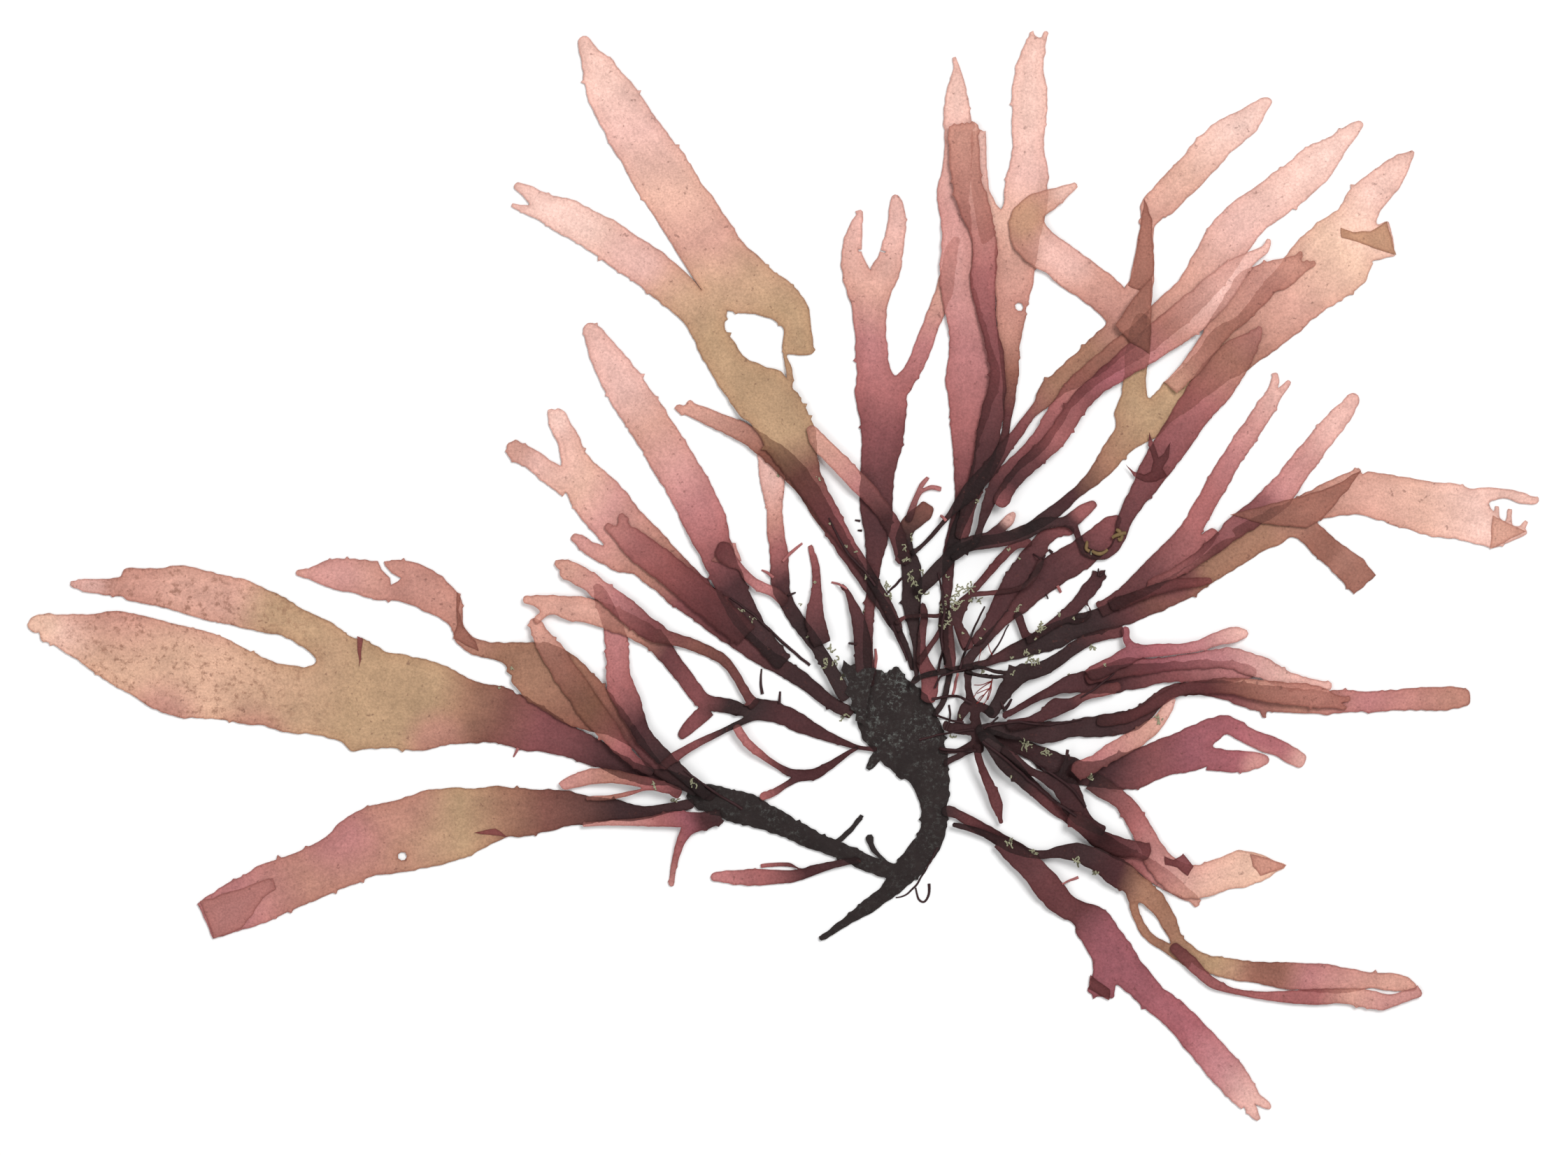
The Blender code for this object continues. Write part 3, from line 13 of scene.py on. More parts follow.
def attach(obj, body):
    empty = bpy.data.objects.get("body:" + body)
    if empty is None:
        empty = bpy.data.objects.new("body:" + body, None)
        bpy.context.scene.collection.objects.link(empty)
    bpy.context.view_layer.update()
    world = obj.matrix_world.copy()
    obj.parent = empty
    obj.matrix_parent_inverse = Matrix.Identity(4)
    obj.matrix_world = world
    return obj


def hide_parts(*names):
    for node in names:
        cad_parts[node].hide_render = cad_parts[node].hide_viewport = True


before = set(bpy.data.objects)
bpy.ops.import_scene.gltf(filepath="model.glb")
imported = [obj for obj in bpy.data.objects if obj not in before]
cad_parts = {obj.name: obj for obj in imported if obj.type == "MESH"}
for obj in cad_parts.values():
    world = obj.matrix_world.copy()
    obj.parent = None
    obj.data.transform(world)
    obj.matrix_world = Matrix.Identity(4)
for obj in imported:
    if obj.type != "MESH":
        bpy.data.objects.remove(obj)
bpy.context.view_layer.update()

# A pressed and dried dulse: thin forked fronds from one dark stipe, seen from above.
# Lengths are in millimetres in the tables and in metres in Blender.
MM = 0.001

# Thicknesses: half a solid, the film of a blade, and the stipe with its swollen middle
SOLID_HALF = 0.3
FILM_THICKNESS = 0.26
FOLD_THICKNESS = FILM_THICKNESS / 2
FOLD_LIFT = 0.04
STIPE_THICKNESS = 0.8
STIPE_SINK = 0.3
STIPE_SWELL = 0.25
SWELL_WIDTH = 1.5
STIPE_WRINKLE = 0.16
WRINKLE_LENGTH = 1.8

# Points of a blade: along its margin, in a ring inside the margin, and in a loose grid
MARGIN_SPACING = 0.6
INNER_RING = 0.38
RING_KEPT = 0.8
INNER_SPACING = 1.05
ROW_RATIO = 0.87
JITTER = 0.16
MARGIN_GAP = 0.75
MERGE = 0.01
PLAN_MERGE = 0.015
TINY = 1e-9
SHORTEST = 1e-6
POINTS_AT_ONCE = 2000

# Corners that stay sharp, and faces that look up
CORNER_TURN = math.radians(55)
CORNER_EDGE = 3.5
SMOOTH_ANGLE = math.radians(50)
UPWARD = 0.5

# The other side of a blade is near across it and far along its margin
WIDEST = 6.0
WAY_ROUND = 2.2
LEAST_ROUND = 1.5

# Wear of the margin: long waves, short ones and teeth, all weaker on narrow parts
FULL_WEAR_WIDTH = 5
WAVE_DEPTH, WAVE_LENGTH = 0.34, 5.5
RUFFLE_DEPTH, RUFFLE_LENGTH = 0.3, 1.7
TOOTH_HEIGHT, TOOTH_LENGTH, TOOTH_LEVEL = 2.6, 0.9, 0.42
FOLD_WANDER, FOLD_WANDER_LENGTH = 0.3, 2.4
FOLD_STREAKS = 3

# Unevenness of a blade, and the curl of its margin
COCKLE_HEIGHT, COCKLE_LENGTH = 0.1, 7
CURL_HEIGHT, CURL_LENGTH, CURL_WIDTH = 0.14, 2.6, 1.2

# Heights in metres for rays from above and for places without a solid below
DOWN = Vector((0, 0, -1))
RAY_START = 0.05
PILE_MIDDLE = 0.003

# Painted see-through shade: how much the blades under a thin blade darken and tint its colour, and the
# least colour a blade has
PAINTED_SEE_THROUGH = 0.82
LAYER_POWER = 0.5
LAYER_GREY = 0.5
DARKEST = (0.008, 0.005, 0.005)
# The satin gloss lightens the colours by as much
GLOSS = (0.95, 0.87, 0.87)
# A patch fades out over its outer part
PATCH_EDGE = 1.4
PATCH_STRENGTH = 0.85

# Side stems: half of their width, how closely they follow the pile, and the rounds that smooth them
STEM_RADIUS = 0.5
STEM_STEP = 0.6
STEM_WANDER, STEM_WANDER_LENGTH = 0.16, 2.2
STEM_SMOOTHING = 3
STEM_EASING = 2
STEM_ROUNDNESS = 2
STEM_DARK, STEM_LIGHT = 0.6, 1.3

# Encrusting animals: chains of grains
CHAIN = 6
CHAIN_STEP = 0.3
CHAIN_TURN = 0.7
GRAIN_SMALLEST, GRAIN_LARGEST = 0.13, 0.24
GRAIN_SHAPE = (1.3, 1.0, 0.8)

# Added to a seed, so that one pattern doesn't follow another
RUFFLE_SHIFT = 9
TOOTH_SHIFT = 21
COCKLE_SHIFT = 40
CURL_SHIFT = 50
FOLD_SHIFT = 5
STEM_SHIFT = 10

# First seeds of the random shapes
STIPE_SEED = 3
OLD_BLADE_SEED = 31
WRINKLE_SEED = 5
CRUST_SEED = 8
FROND_SEED = 11
FOLD_SEED = 90
SIDE_SEED = 103
STEM_SEED = 61

# The two colours that a Mix node takes, and the one that it gives
MIX_A, MIX_B, MIX_OUT = 6, 7, 2

# The camera looks straight down, and its frame is 0.3737 m wide at the floor
CENTRE = (-0.033, 0.042, 0)
CAMERA_HEIGHT = 1.6
CAMERA_PLACE = (-0.03315, 0.04235, CAMERA_HEIGHT)
FRAME_WIDTH = 0.3737
SENSOR_WIDTH = 36
FLOOR_SIZE = 4
DAYLIGHT = 0.42

PALETTE = {
    "light_blush": "F8D8CB",
    "blush": "F3CFC1",
    "pale_pink": "E8C0B5",
    "pale_peach": "F0CDB4",
    "peach_pink": "E4BBA8",
    "peach": "DDB79C",
    "pink_peach": "D6A898",
    "sand": "CBA98B",
    "pink": "CF9C95",
    "pink_tan": "C69487",
    "olive_tan": "B99D7B",
    "rose_tan": "BA8A7A",
    "rose": "BC8281",
    "rose_mauve": "A96C6B",
    "tan_brown": "A27B64",
    "red_brown": "8F6152",
    "mauve": "855052",
    "brown": "7D5349",
    "deep_mauve": "653C3E",
    "maroon": "4B2C2F",
    "dark_maroon": "3A2628",
    "near_black": "302324",
    "epiphyte_red": "8C2F2C",
    "worm_tan": "7D6A48",
    "cool_mauve": "945A62",
    "cool_rose": "A9686F",
    "cool_pink": "C28A8C",
}

STIPE = "stipe_and_old_blade"

# Fronds from the bottom of the pile to the top: slot, root (x, y), colours by distance from the root
FRONDS = {
    "left_low_frond": ("olive_tan_blade", (-55, -12), [
        (0, "dark_maroon"), (18, "dark_maroon"), (36, "brown"), (46, "tan_brown"), (56, "olive_tan"),
        (78, "rose_tan"), (95, "rose_tan"), (112, "rose")]),
    "left_broad_forked_frond": ("peach_blade", (-50, -10), [
        (0, "dark_maroon"), (28, "maroon"), (46, "mauve"), (56, "brown"), (66, "tan_brown"),
        (74, "olive_tan"), (92, "olive_tan"), (110, "sand"), (128, "peach"), (156, "peach"),
        (170, "blush")]),
    "left_upper_frond": ("rose_blade", (-54, -9), [
        (0, "dark_maroon"), (18, "deep_mauve"), (33, "red_brown"), (48, "tan_brown"),
        (60, "tan_brown"), (70, "rose_tan"), (90, "pink_tan"), (110, "pink_peach")]),
    "left_upright_frond": ("rose_blade", (-52, -10), [
        (0, "dark_maroon"), (14, "dark_maroon"), (24, "maroon"), (34, "rose_mauve"), (46, "rose")]),
    "left_hanging_branch": ("mauve_blade", (-48, -14), [
        (0, "dark_maroon"), (5, "maroon"), (9, "cool_mauve"), (15, "rose_mauve"), (24, "pink")]),
    "left_narrow_frond": ("pale_pink_blade", (-64, -4), [
        (0, "maroon"), (6, "mauve"), (11, "rose_mauve"), (22, "tan_brown"), (34, "rose_tan"),
        (47, "pink_peach")]),
    "left_small_lobe": ("pale_pink_blade", (-58, -9), [
        (0, "deep_mauve"), (8, "rose_mauve"), (17, "rose_tan"), (29, "pink")]),
    "stipe_side_frond": ("mauve_blade", (-15, -25), [
        (0, "dark_maroon"), (14, "maroon"), (24, "rose_mauve"), (36, "rose")]),
    "middle_long_thin_frond": ("mauve_blade", (-11, 2), [
        (0, "maroon"), (25, "maroon"), (32, "near_black"), (38, "near_black"), (46, "mauve"),
        (58, "deep_mauve"), (66, "rose_tan"), (80, "pink_peach")]),
    "middle_short_thin_frond": ("mauve_blade", (-40, 12), [
        (0, "deep_mauve"), (20, "brown"), (32, "mauve"), (44, "rose"), (56, "pink_peach")]),
    "middle_branchlets": ("mauve_blade", (-16, 2), [
        (0, "maroon"), (18, "maroon"), (26, "rose_mauve"), (38, "rose")]),
    "upper_left_forked_frond": ("peach_blade", (-17, 10), [
        (0, "dark_maroon"), (18, "dark_maroon"), (35, "deep_mauve"), (50, "mauve"), (60, "rose_tan"),
        (68, "pink_tan"), (78, "pink"), (87, "peach_pink"), (102, "pale_pink")]),
    "centre_thin_frond": ("rose_blade", (-18, 14), [
        (0, "near_black"), (21, "near_black"), (32, "maroon"), (40, "rose_mauve"), (47, "pink_tan"),
        (57, "pale_pink")]),
    "upper_left_broad_frond": ("peach_blade", (-33, 22), [
        (0, "dark_maroon"), (10, "dark_maroon"), (23, "maroon"), (29, "mauve"), (35, "rose_mauve"),
        (44, "rose"), (54, "pink"), (66, "pink_peach"), (76, "pale_pink"), (90, "pale_pink"),
        (104, "blush")]),
    "upper_left_inner_frond": ("mauve_blade", (-42, 28), [
        (0, "deep_mauve"), (12, "mauve"), (26, "rose_mauve"), (36, "rose"), (44, "pink")]),
    "centre_bent_sprig": ("rose_blade", (-33, 36), [(0, "deep_mauve"), (6, "rose"), (21, "mauve")]),
    "centre_small_frond": ("mauve_blade", (-24, 26), [(0, "dark_maroon"), (18, "mauve"),
        (24, "rose_mauve")]),
    "top_left_three_lobed_frond": ("rose_blade", (-13, 17), [
        (0, "maroon"), (18, "deep_mauve"), (38, "maroon"), (50, "deep_mauve"), (62, "mauve"),
        (72, "rose_mauve"), (84, "rose"), (96, "pink_peach"), (114, "pale_pink")]),
    "centre_short_frond": ("maroon_blade", (-14, 20), [
        (0, "dark_maroon"), (13, "maroon"), (22, "deep_mauve")]),
    "upper_left_arching_frond": ("rose_blade", (-2, 20), [
        (0, "near_black"), (17, "dark_maroon"), (35, "deep_mauve"), (64, "red_brown"),
        (81, "pink_peach")]),
    "upper_torn_frond": ("peach_blade", (-6, 30), [
        (0, "maroon"), (14, "dark_maroon"), (24, "mauve"), (33, "mauve"), (44, "brown"),
        (54, "olive_tan"), (84, "olive_tan"), (95, "sand"), (106, "pink_peach"), (120, "peach_pink"),
        (137, "pale_pink"), (150, "blush")]),
    "centre_curved_frond": ("mauve_blade", (-2, 18), [
        (0, "dark_maroon"), (15, "near_black"), (34, "near_black"), (44, "brown")]),
    "centre_slanting_frond": ("rose_blade", (-5, 46), [
        (0, "maroon"), (12, "deep_mauve"), (20, "rose"), (34, "pink_peach")]),
    "top_straight_frond": ("rose_blade", (2, 10), [
        (0, "near_black"), (14, "near_black"), (32, "maroon"), (49, "maroon"), (60, "mauve"),
        (72, "rose_mauve"), (90, "rose"), (108, "pink"), (122, "pink"), (150, "blush")]),
    "top_right_straight_frond": ("pale_pink_blade", (7, 48), [
        (0, "near_black"), (17, "dark_maroon"), (36, "deep_mauve"), (46, "red_brown"),
        (54, "rose_tan"), (64, "pink_tan"), (76, "pink_peach"), (84, "peach_pink"), (95, "pale_pink"),
        (110, "blush"), (126, "blush")]),
    "top_cut_end_frond": ("rose_blade", (9, 52), [
        (0, "deep_mauve"), (16, "maroon"), (32, "deep_mauve"), (41, "mauve"), (50, "mauve"),
        (65, "rose_mauve"), (84, "pink_tan"), (99, "pink_peach")]),
    "top_right_forked_frond": ("peach_blade", (-3, 48), [
        (0, "near_black"), (17, "dark_maroon"), (30, "maroon"), (42, "mauve"), (54, "tan_brown"),
        (66, "tan_brown"), (76, "pink_tan"), (90, "pink_peach"), (102, "pink_peach"),
        (114, "peach_pink"), (130, "light_blush")]),
    "centre_forked_sprig": ("rose_blade", (-4, 56), [(0, "maroon"), (11, "rose")]),
    "centre_root_frond": ("maroon_blade", (1, 13), [(0, "mauve"), (23, "maroon")]),
    "right_broad_notched_frond": ("rose_blade", (-3, 17), [
        (0, "near_black"), (14, "near_black"), (22, "maroon"), (30, "near_black"), (44, "near_black"),
        (50, "dark_maroon"), (56, "deep_mauve"), (64, "brown"), (76, "tan_brown"), (94, "tan_brown"),
        (106, "rose_tan"), (120, "pink_peach"), (134, "peach_pink"), (146, "blush")]),
    "dark_inner_frond": ("maroon_blade", (9, 20), [
        (0, "dark_maroon"), (10, "dark_maroon"), (16, "deep_mauve"), (30, "maroon"),
        (44, "deep_mauve"), (52, "mauve")]),
    "dark_inner_left_frond": ("maroon_blade", (12, 27), [
        (0, "maroon"), (23, "maroon"), (30, "deep_mauve"), (36, "mauve")]),
    "right_inner_forked_tip_frond": ("rose_blade", (42, 35), [
        (0, "deep_mauve"), (14, "deep_mauve"), (30, "rose_mauve"), (38, "rose_mauve"), (48, "rose"),
        (59, "pink"), (68, "pale_pink")]),
    "right_arching_frond": ("rose_blade", (54, 40), [
        (0, "rose_mauve"), (7, "rose"), (19, "mauve"), (36, "rose"), (50, "pink"), (60, "pale_pink")]),
    "right_small_side_frond": ("mauve_blade", (45, 36), [(0, "deep_mauve"), (15, "mauve"),
        (24, "rose_mauve")]),
    "dark_small_frond": ("maroon_blade", (25, 28), [(0, "maroon"), (24, "maroon")]),
    "right_broad_spoon_frond": ("peach_blade", (6, 48), [
        (0, "near_black"), (19, "near_black"), (34, "maroon"), (45, "tan_brown"), (60, "olive_tan"),
        (71, "olive_tan"), (91, "rose_tan"), (106, "pink_peach"), (123, "pale_peach"), (138, "blush")]),
    "looped_stalk_frond": ("mauve_blade", (-2, 39), [
        (0, "near_black"), (16, "near_black"), (25, "maroon"), (33, "near_black"), (46, "maroon"),
        (63, "deep_mauve"), (81, "mauve"), (95, "rose_mauve"), (108, "rose_tan"), (119, "pink")]),
    "right_twin_tip_frond": ("rose_blade", (59, 88), [
        (0, "peach_pink"), (10, "pink_tan"), (20, "rose_tan"), (34, "pink_tan"), (43, "pink_peach")]),
    "far_right_long_frond": ("rose_blade", (7, 47), [
        (0, "near_black"), (20, "maroon"), (31, "mauve"), (45, "rose_mauve"), (60, "rose_tan"),
        (75, "rose_tan"), (91, "pink_peach"), (107, "pale_pink"), (122, "blush"), (136, "light_blush")]),
    "right_slender_frond": ("pale_pink_blade", (18, 60), [
        (0, "mauve"), (6, "maroon"), (14, "deep_mauve"), (22, "rose_mauve"), (34, "mauve"),
        (42, "cool_rose"), (52, "rose"), (60, "pink_tan"), (74, "pale_pink"), (84, "pale_pink"),
        (95, "blush")]),
    "dark_thread_branches": ("maroon_blade", (6, 34), [(0, "dark_maroon"), (14, "deep_mauve")]),
    "lower_forked_frond": ("rose_blade", (4, 1), [
        (0, "dark_maroon"), (30, "dark_maroon"), (44, "maroon"), (54, "mauve"), (62, "cool_mauve"),
        (76, "cool_rose"), (88, "pink"), (94, "pale_pink")]),
    "lower_long_straight_frond": ("rose_blade", (16, 6), [
        (0, "near_black"), (14, "dark_maroon"), (29, "dark_maroon"), (45, "deep_mauve"), (60, "mauve"),
        (76, "rose_tan"), (92, "rose"), (112, "rose_tan")]),
    "lower_mid_frond": ("mauve_blade", (19, 9), [(0, "maroon"), (29, "maroon"), (44, "mauve"),
        (59, "rose")]),
    "dark_lower_frond": ("maroon_blade", (15, 9), [
        (0, "near_black"), (20, "near_black"), (28, "dark_maroon"), (36, "deep_mauve")]),
    "dark_lower_sprig": ("maroon_blade", (20, 8), [(0, "maroon"), (16, "maroon"), (28, "rose_mauve")]),
    "lower_diagonal_frond": ("rose_blade", (16, 3), [
        (0, "near_black"), (14, "near_black"), (21, "deep_mauve"), (34, "maroon"), (49, "rose_mauve"),
        (56, "pink"), (63, "pink_peach")]),
    "lower_broad_tip_frond": ("peach_blade", (40, -6), [
        (0, "dark_maroon"), (16, "rose_mauve"), (30, "pink"), (40, "peach_pink"), (52, "pale_peach")]),
    "lower_side_branch": ("mauve_blade", (31, -5), [(0, "dark_maroon"), (18, "maroon")]),
    "lower_upturned_branch": ("mauve_blade", (36, -4), [
        (0, "rose_mauve"), (8, "rose"), (22, "pink_peach"), (30, "pale_pink")]),
    "lower_upper_frond": ("rose_blade", (43, 19), [
        (0, "mauve"), (6, "mauve"), (15, "cool_mauve"), (30, "cool_pink"), (44, "pale_pink")]),
    "lower_top_frond": ("rose_blade", (40, 20), [
        (0, "mauve"), (10, "cool_mauve"), (18, "cool_rose"), (28, "cool_pink"), (39, "pale_pink")]),
    "lower_overlying_frond": ("mauve_blade", (42, 8), [
        (0, "deep_mauve"), (10, "mauve"), (28, "mauve"), (38, "rose_tan"), (50, "pink_tan")]),
    "lower_ragged_frond": ("mauve_blade", (35, -15), [(0, "mauve"), (9, "maroon"), (17, "deep_mauve"),
        (21, "mauve")]),
    "lower_short_tuft": ("maroon_blade", (12, 3), [(0, "maroon"), (15, "deep_mauve")]),
    "lowest_long_frond": ("rose_blade", (5, -13), [
        (0, "near_black"), (7, "deep_mauve"), (18, "dark_maroon"), (36, "dark_maroon"), (46, "maroon"),
        (53, "tan_brown"), (64, "tan_brown"), (77, "olive_tan"), (90, "rose_tan"), (100, "rose"),
        (118, "pink_peach")]),
    "lowest_broad_tip_frond": ("rose_blade", (7, -16), [
        (0, "near_black"), (12, "maroon"), (28, "deep_mauve"), (38, "deep_mauve"), (46, "cool_mauve"),
        (60, "cool_mauve"), (78, "cool_rose"), (90, "cool_pink"), (102, "pale_pink")]),
    "lowest_second_frond": ("pale_pink_blade", (60, -45), [
        (0, "mauve"), (26, "rose_mauve"), (38, "rose_mauve"), (46, "pink_peach"), (54, "pink")]),
}

# Places where a frond differs from its colour by distance: (x, y), reach, colour
PATCHES = {
    "left_broad_forked_frond": [
        ((-191, 41), 22, "pink_tan"), ((-170, 40), 18, "pink_peach"), ((-150, 32), 16, "olive_tan"),
        ((-211, 31), 8, "pale_peach"), ((-200, 41), 8, "pale_pink"), ((-182, 8), 13, "pink_tan"),
        ((-160, 3), 12, "rose_tan"), ((-116, 3), 10, "rose_tan")],
    "left_low_frond": [((-140, -16), 16, "rose"), ((-126, -10), 14, "rose_tan")],
    "left_upper_frond": [((-141, 43), 11, "pink")],
    "upper_left_forked_frond": [((-99, 74), 9, "pink_peach"), ((-88, 82), 8, "light_blush")],
    "upper_torn_frond": [((-86, 129), 20, "light_blush"), ((-69, 119), 11, "pale_pink")],
    "top_right_forked_frond": [((24, 128), 8, "sand"), ((34, 120), 11, "pale_pink"),
        ((34, 135), 5, "blush")],
    "right_broad_notched_frond": [
        ((105, 40), 15, "red_brown"), ((95, 50), 8, "red_brown"), ((60, 42), 9, "mauve")],
    "right_arching_frond": [((79, 57), 9, "mauve")],
    "looped_stalk_frond": [((38.5, 59), 5, "rose_mauve"), ((20.8, 57), 4, "pale_pink")],
    "lower_forked_frond": [((83, 3), 8, "cool_rose"), ((80, -3), 6, "pink")],
    "lowest_long_frond": [((82, -52), 9, "red_brown")],
}

# Teeth and nicks of the margins: x, y, length outwards
TEETH = [
    (-98.6, 21.4, -0.9), (-98.8, 18.6, -1), (-100.4, 15.6, 1), (-97, 14.6, -0.8), (-94, 12.6, 0.8),
    (-211, 28.6, -1), (-212.4, 34.2, -0.8), (-209.6, 27.4, 0.8), (7.5, 149.8, 1.1), (9, 149.8, 1),
    (10.5, 149.8, 1), (11.9, 149.8, 1.1), (13.4, 148.6, 0.8), (-99.4, 74.4, 0.8), (-97, 74.9, 0.6),
    (-89, 82.2, 0.9), (-87, 83.6, 1), (-88, 83.2, -1), (-87.4, 45.8, 1), (-86, 41.6, 0.9),
    (-87.2, 43.6, -0.9), (-58.4, 82.7, 0.9), (-55.6, 84.4, 1), (-57.2, 84.2, -0.8), (78, 101.6, 1),
    (80, 101.8, 1.2), (81.6, 100.2, -0.8), (42.6, 43.8, 1), (41, 43.4, 0.9), (43.6, 42.4, 0.8),
    (41.8, 43.8, -0.7), (-12, 19.6, 0.9), (-9, 20.4, -0.9), (-6.5, 20.2, 1), (-3, 19.4, -0.8),
    (-15.6, 14, 1), (-16.4, 9, -0.8),
]

# Tears through a frond: corners (x, y)
TEARS = {
    "left_upper_frond": [[
        (-130.2, 46.9), (-128.6, 46.6), (-128.2, 45.2), (-126.6, 43.4), (-124.4, 42.2), (-125.2, 41.4),
        (-126.8, 40.6), (-127, 42.2), (-129, 44.2)]],
    "top_left_three_lobed_frond": [
        [(-15.4, 120.6), (-13.8, 120.3), (-13.8, 119.9), (-15.4, 120.1)],
        [(-10.2, 120.4), (-8.9, 120.1), (-9, 119.7), (-10.2, 120)]],
}

# Folded or doubled parts: frond below, colour, corners (x, y)
FOLDS = {
    "left_low_end_fold": ("left_low_frond", "pink", [
        (-172.3, -34.9), (-154.8, -29.2), (-154.2, -31.8), (-157.4, -34.1), (-159.6, -37.6),
        (-162.4, -41.4), (-168.8, -43.6)]),
    "left_low_notch_pleat": ("left_low_frond", "rose_mauve", [
        (-106.8, -18.6), (-104.2, -17.7), (-101.9, -17.3), (-98.9, -19.5), (-101.8, -19)]),
    "left_broad_pleat": ("left_broad_forked_frond", "rose_mauve", [
        (-134.9, 28.4), (-134.3, 21), (-133.4, 27.7)]),
    "left_upper_fold": ("left_upper_frond", "rose_tan", [
        (-111.1, 38.9), (-110.1, 38.4), (-110.6, 34.6), (-109.7, 30.7), (-106.6, 26.9), (-106, 24.9),
        (-112, 27.9), (-110.9, 31.4)]),
    "right_broad_fold": ("right_arching_frond", "rose_tan", [
        (73, 57.4), (88.5, 61.3), (97.4, 64), (104.3, 67.9), (102, 64.3), (97.4, 58.9), (94.4, 56),
        (91.4, 54.2), (84.3, 54.8), (79.5, 55.4)]),
    "right_tip_fold": ("right_broad_notched_frond", "peach_pink", [
        (135.5, 57.1), (139.4, 55.2), (143.6, 53.4), (135.1, 49)]),
    "spoon_fold": ("right_broad_spoon_frond", "sand", [
        (99.5, 125.6), (102.4, 124.6), (106.4, 124.9), (110.4, 127.2), (112.6, 119), (108, 120.8),
        (103.3, 122.4), (99.7, 123.6)]),
    "forked_neck_fold": ("top_right_forked_frond", "rose_tan", [
        (52.7, 132.5), (54.5, 127.5), (55, 114.5), (52.2, 110.4), (48.8, 112), (51.2, 122.6)]),
    "forked_elbow_fold": ("right_slender_frond", "rose_tan", [
        (54.4, 114), (53.9, 95.6), (49.4, 98.2), (45.6, 102.4), (49.8, 108.5)]),
    "lower_tip_fold": ("lower_broad_tip_frond", "mauve", [
        (57.4, -24), (59.6, -25), (61.9, -23.4), (64.4, -26.4), (63, -28.8), (60.6, -26.7), (57.6, -26)]),
    "peach_end_fold": ("lower_broad_tip_frond", "pink_peach", [
        (77.9, -23.4), (83.6, -25), (86.6, -26.2), (84, -27.6), (80.5, -28.6), (78.6, -26.4)]),
    "lowest_flap_fold": ("lowest_broad_tip_frond", "mauve", [
        (39.8, -52.4), (44.6, -55.8), (44.2, -58.4), (39.4, -55.6)]),
    "upper_left_fold": ("upper_left_broad_frond", "pink", [
        (-47.6, 50.9), (-44.6, 50.4), (-43.2, 46.2), (-46, 45.6), (-50.4, 46.3)]),
    "stalk_side_branch": ("looped_stalk_frond", "mauve", [
        (48.2, 69.4), (50, 67.6), (52.6, 66.8), (54.2, 67.8), (54.8, 70.4), (53.6, 74), (53.8, 77),
        (54.8, 74.4), (56, 71), (57.4, 72), (58.9, 74.4), (58.3, 71), (57, 68.2), (58, 66.6),
        (55.6, 65.2), (52.8, 65.2), (50, 66.6)]),
}

# The ragged left side of the old blade, over the roots of the fronds
OLD_BLADE_SIDE = [
    (-19.6, 20.4), (-18.8, 22.6), (-17.2, 21.4), (-15.6, 22.4), (-14.2, 20.8), (-11.4, 20.8),
    (-12.4, 17), (-13.4, 12), (-14, 7.4), (-16.2, 8.2), (-15.8, 10.4), (-17.4, 11.2), (-17, 13.4),
    (-18.6, 15), (-17.8, 17.6)]

